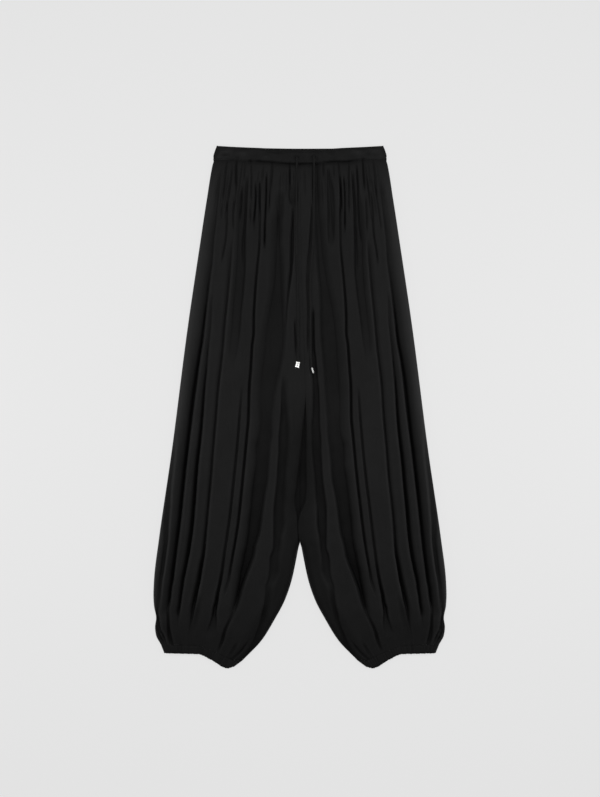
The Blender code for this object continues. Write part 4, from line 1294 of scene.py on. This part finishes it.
def new_material(name, colour, roughness, metallic=0.0, specular=None):
    made = bpy.data.materials.new(name)
    made.use_nodes = True
    shader = made.node_tree.nodes["Principled BSDF"]
    shader.inputs["Base Color"].default_value = (*colour, 1.0)
    shader.inputs["Roughness"].default_value = roughness
    shader.inputs["Metallic"].default_value = metallic
    if specular is not None:
        shader.inputs["Specular IOR Level"].default_value = specular
    return made, made.node_tree, shader


def node(tree, kind, **values):
    made = tree.nodes.new(kind)
    for name, value in values.items():
        if name in made.inputs:
            made.inputs[name].default_value = value
        else:
            setattr(made, name, value)
    return made


def wire(tree, *links):
    """Links nodes, each link given as (node, output, node, input)."""
    for source, output, target, entry in links:
        tree.links.new(source.outputs[output], target.inputs[entry])


def raise_weave(tree, shader, place, texture, strength, distance):
    """A bump from a texture in the piece's own coordinates."""
    bump = node(tree, "ShaderNodeBump", Strength=strength, Distance=distance)
    wire(
        tree,
        (place, "Object", texture, "Vector"),
        (texture, "Fac", bump, "Height"),
        (bump, "Normal", shader, "Normal"),
    )


def crepe_material():
    """Matt black crepe: a fine pebbled weave, painted highlights on ridges, painted shade in hollows, a faint
    sheen.
    """
    colour = CREPE_PAINTED_LIT[:3]
    made, tree, shader = new_material("black_crepe", colour, CREPE_ROUGHNESS, specular=CREPE_SPECULAR)
    shader.inputs["Sheen Weight"].default_value = CREPE_SHEEN
    shader.inputs["Sheen Roughness"].default_value = CREPE_SHEEN_ROUGHNESS
    place = node(tree, "ShaderNodeTexCoord")
    painted_light = node(tree, "ShaderNodeAttribute", attribute_name="painted_light")
    pebble = node(tree, "ShaderNodeTexNoise", Scale=1100.0, Detail=3.0, Roughness=0.6)
    patch = node(tree, "ShaderNodeTexNoise", Scale=22.0, Detail=4.0, Roughness=0.55)
    uneven = node(tree, "ShaderNodeMath", operation="MULTIPLY_ADD")
    uneven.inputs[1].default_value = PATCH_SHARE * PAINTED_LIGHT_SHARE
    share = node(tree, "ShaderNodeMath", operation="SUBTRACT", use_clamp=True)
    share.inputs[1].default_value = PATCH_EVEN * PAINTED_LIGHT_SHARE
    tint = node(tree, "ShaderNodeMixRGB", Color1=CREPE_DEEP, Color2=CREPE_PAINTED_LIT)
    wire(
        tree,
        (place, "Object", patch, "Vector"),
        (patch, "Fac", uneven, 0),
        (painted_light, "Fac", uneven, 2),
        (uneven, "Value", share, 0),
        (share, "Value", tint, "Fac"),
        (tint, "Color", shader, "Base Color"),
    )
    raise_weave(tree, shader, place, pebble, strength=0.3, distance=0.0003)
    return made


def cord_material():
    """A thin tube of the same cloth, with a slanting braid."""
    made, tree, shader = new_material("black_cord", CORD_COLOUR, roughness=0.62, specular=0.08)
    shader.inputs["Sheen Weight"].default_value = CORD_SHEEN
    place = node(tree, "ShaderNodeTexCoord")
    braid = node(tree, "ShaderNodeTexWave", Scale=420.0, Distortion=1.5, bands_direction="DIAGONAL")
    patch = node(tree, "ShaderNodeTexNoise", Scale=16.0, Detail=3.0, Roughness=0.6)
    share = node(tree, "ShaderNodeMath", operation="MULTIPLY")
    tint = node(tree, "ShaderNodeMixRGB", Color1=CORD_DEEP, Color2=CORD_PALE)
    wire(
        tree,
        (place, "Object", patch, "Vector"),
        (braid, "Fac", share, 0),
        (patch, "Fac", share, 1),
        (share, "Value", tint, "Fac"),
        (tint, "Color", shader, "Base Color"),
    )
    raise_weave(tree, shader, place, braid, strength=0.5, distance=0.0003)
    return made


def thread_material():
    """Twisted black sewing thread, a little shinier than the cloth."""
    made, tree, shader = new_material("black_thread", THREAD_COLOUR, roughness=0.5, specular=0.25)
    place = node(tree, "ShaderNodeTexCoord")
    twist = node(tree, "ShaderNodeTexWave", Scale=900.0, Distortion=0.8, bands_direction="DIAGONAL")
    raise_weave(tree, shader, place, twist, strength=0.4, distance=0.0001)
    return made


def metal_material():
    made, tree, shader = new_material("silver_metal", METAL_COLOUR, roughness=0.3, metallic=1.0)
    place = node(tree, "ShaderNodeTexCoord")
    scuff = node(tree, "ShaderNodeTexNoise", Scale=700.0, Detail=4.0)
    spread = node(tree, "ShaderNodeMapRange", **{"To Min": 0.2, "To Max": 0.4})
    wire(
        tree,
        (place, "Object", scuff, "Vector"),
        (scuff, "Fac", spread, "Value"),
        (spread, "Result", shader, "Roughness"),
    )
    return made


# Ground, light and camera


def ground():
    bpy.ops.mesh.primitive_plane_add(size=GROUND_SIZE, location=(0, 0, GROUND_LEVEL))
    made = bpy.context.object
    made.name = "ground"
    material, _, shader = new_material("pale_grey_ground", (GROUND_ALBEDO,) * 3, roughness=0.9, specular=0.0)
    shader.inputs["Emission Color"].default_value = (1.0, 1.0, 1.0, 1.0)
    shader.inputs["Emission Strength"].default_value = GROUND_GLOW
    made.data.materials.append(material)


def lamp(name, place, power, size):
    """A soft oblong lamp that faces the garment's middle."""
    light = bpy.data.lights.new(name, "AREA")
    light.energy = power
    light.shape = "RECTANGLE"
    light.size, light.size_y = size
    made = placed(name, light)
    made.location = place
    made.rotation_mode = "QUATERNION"
    made.rotation_quaternion = Vector(place).to_track_quat("Z", "Y")


def light_scene():
    world = bpy.data.worlds.new("studio")
    world.use_nodes = True
    background = world.node_tree.nodes["Background"]
    background.inputs["Color"].default_value = (1.0, 1.0, 1.0, 1.0)
    background.inputs["Strength"].default_value = WORLD_STRENGTH
    scene = bpy.context.scene
    scene.world = world
    scene.view_settings.view_transform = "Standard"
    lamp("waist_side", LAMP_PLACE, LAMP_POWER, LAMP_SIZE)
    x, y, z = SIDE_PLACE
    lamp("left", (-x, y, z), SIDE_POWER, SIDE_SIZE)
    lamp("right", (x, y, z), SIDE_POWER, SIDE_SIZE)


def camera():
    data = bpy.data.cameras.new("camera")
    data.sensor_width = SENSOR
    data.lens = SENSOR * CAMERA_HEIGHT / PHOTO_HEIGHT
    data.clip_end = CLIP_END
    made = placed("camera", data)
    made.location = Vector((0.0, CAMERA_Y, CAMERA_HEIGHT)) * MM
    bpy.context.scene.camera = made


def main():
    camera()
    cloth, cord = crepe_material(), cord_material()
    metal, thread = metal_material(), thread_material()
    fronts = [front_leg(side, cloth) for side in (-1, 1)]
    backs = [back_leg(side, cloth) for side in (-1, 1)]
    casings = [ankle_casing(side, cloth) for side in (-1, 1)]
    band_front, band_back = waistband(True, cloth), waistband(False, cloth)
    band_tree = sew(band_front, casings, thread)
    tree = tree_of(fronts + [band_front])
    ends = (
        ("left", CORD_LEFT, TIP_LEAN_LEFT, False),
        ("right", CORD_RIGHT, TIP_LEAN_RIGHT, True),
    )
    for side_name, rows, lean, on_edge in ends:
        eyelet("eyelet_" + side_name, *rows[0], band_tree, thread)
        string, length, start = drawstring(side_name, rows, tree, cord)
        tip = metal_tip(side_name, rows[-1], lean, on_edge, tree, metal)
    ground()
    light_scene()


main()
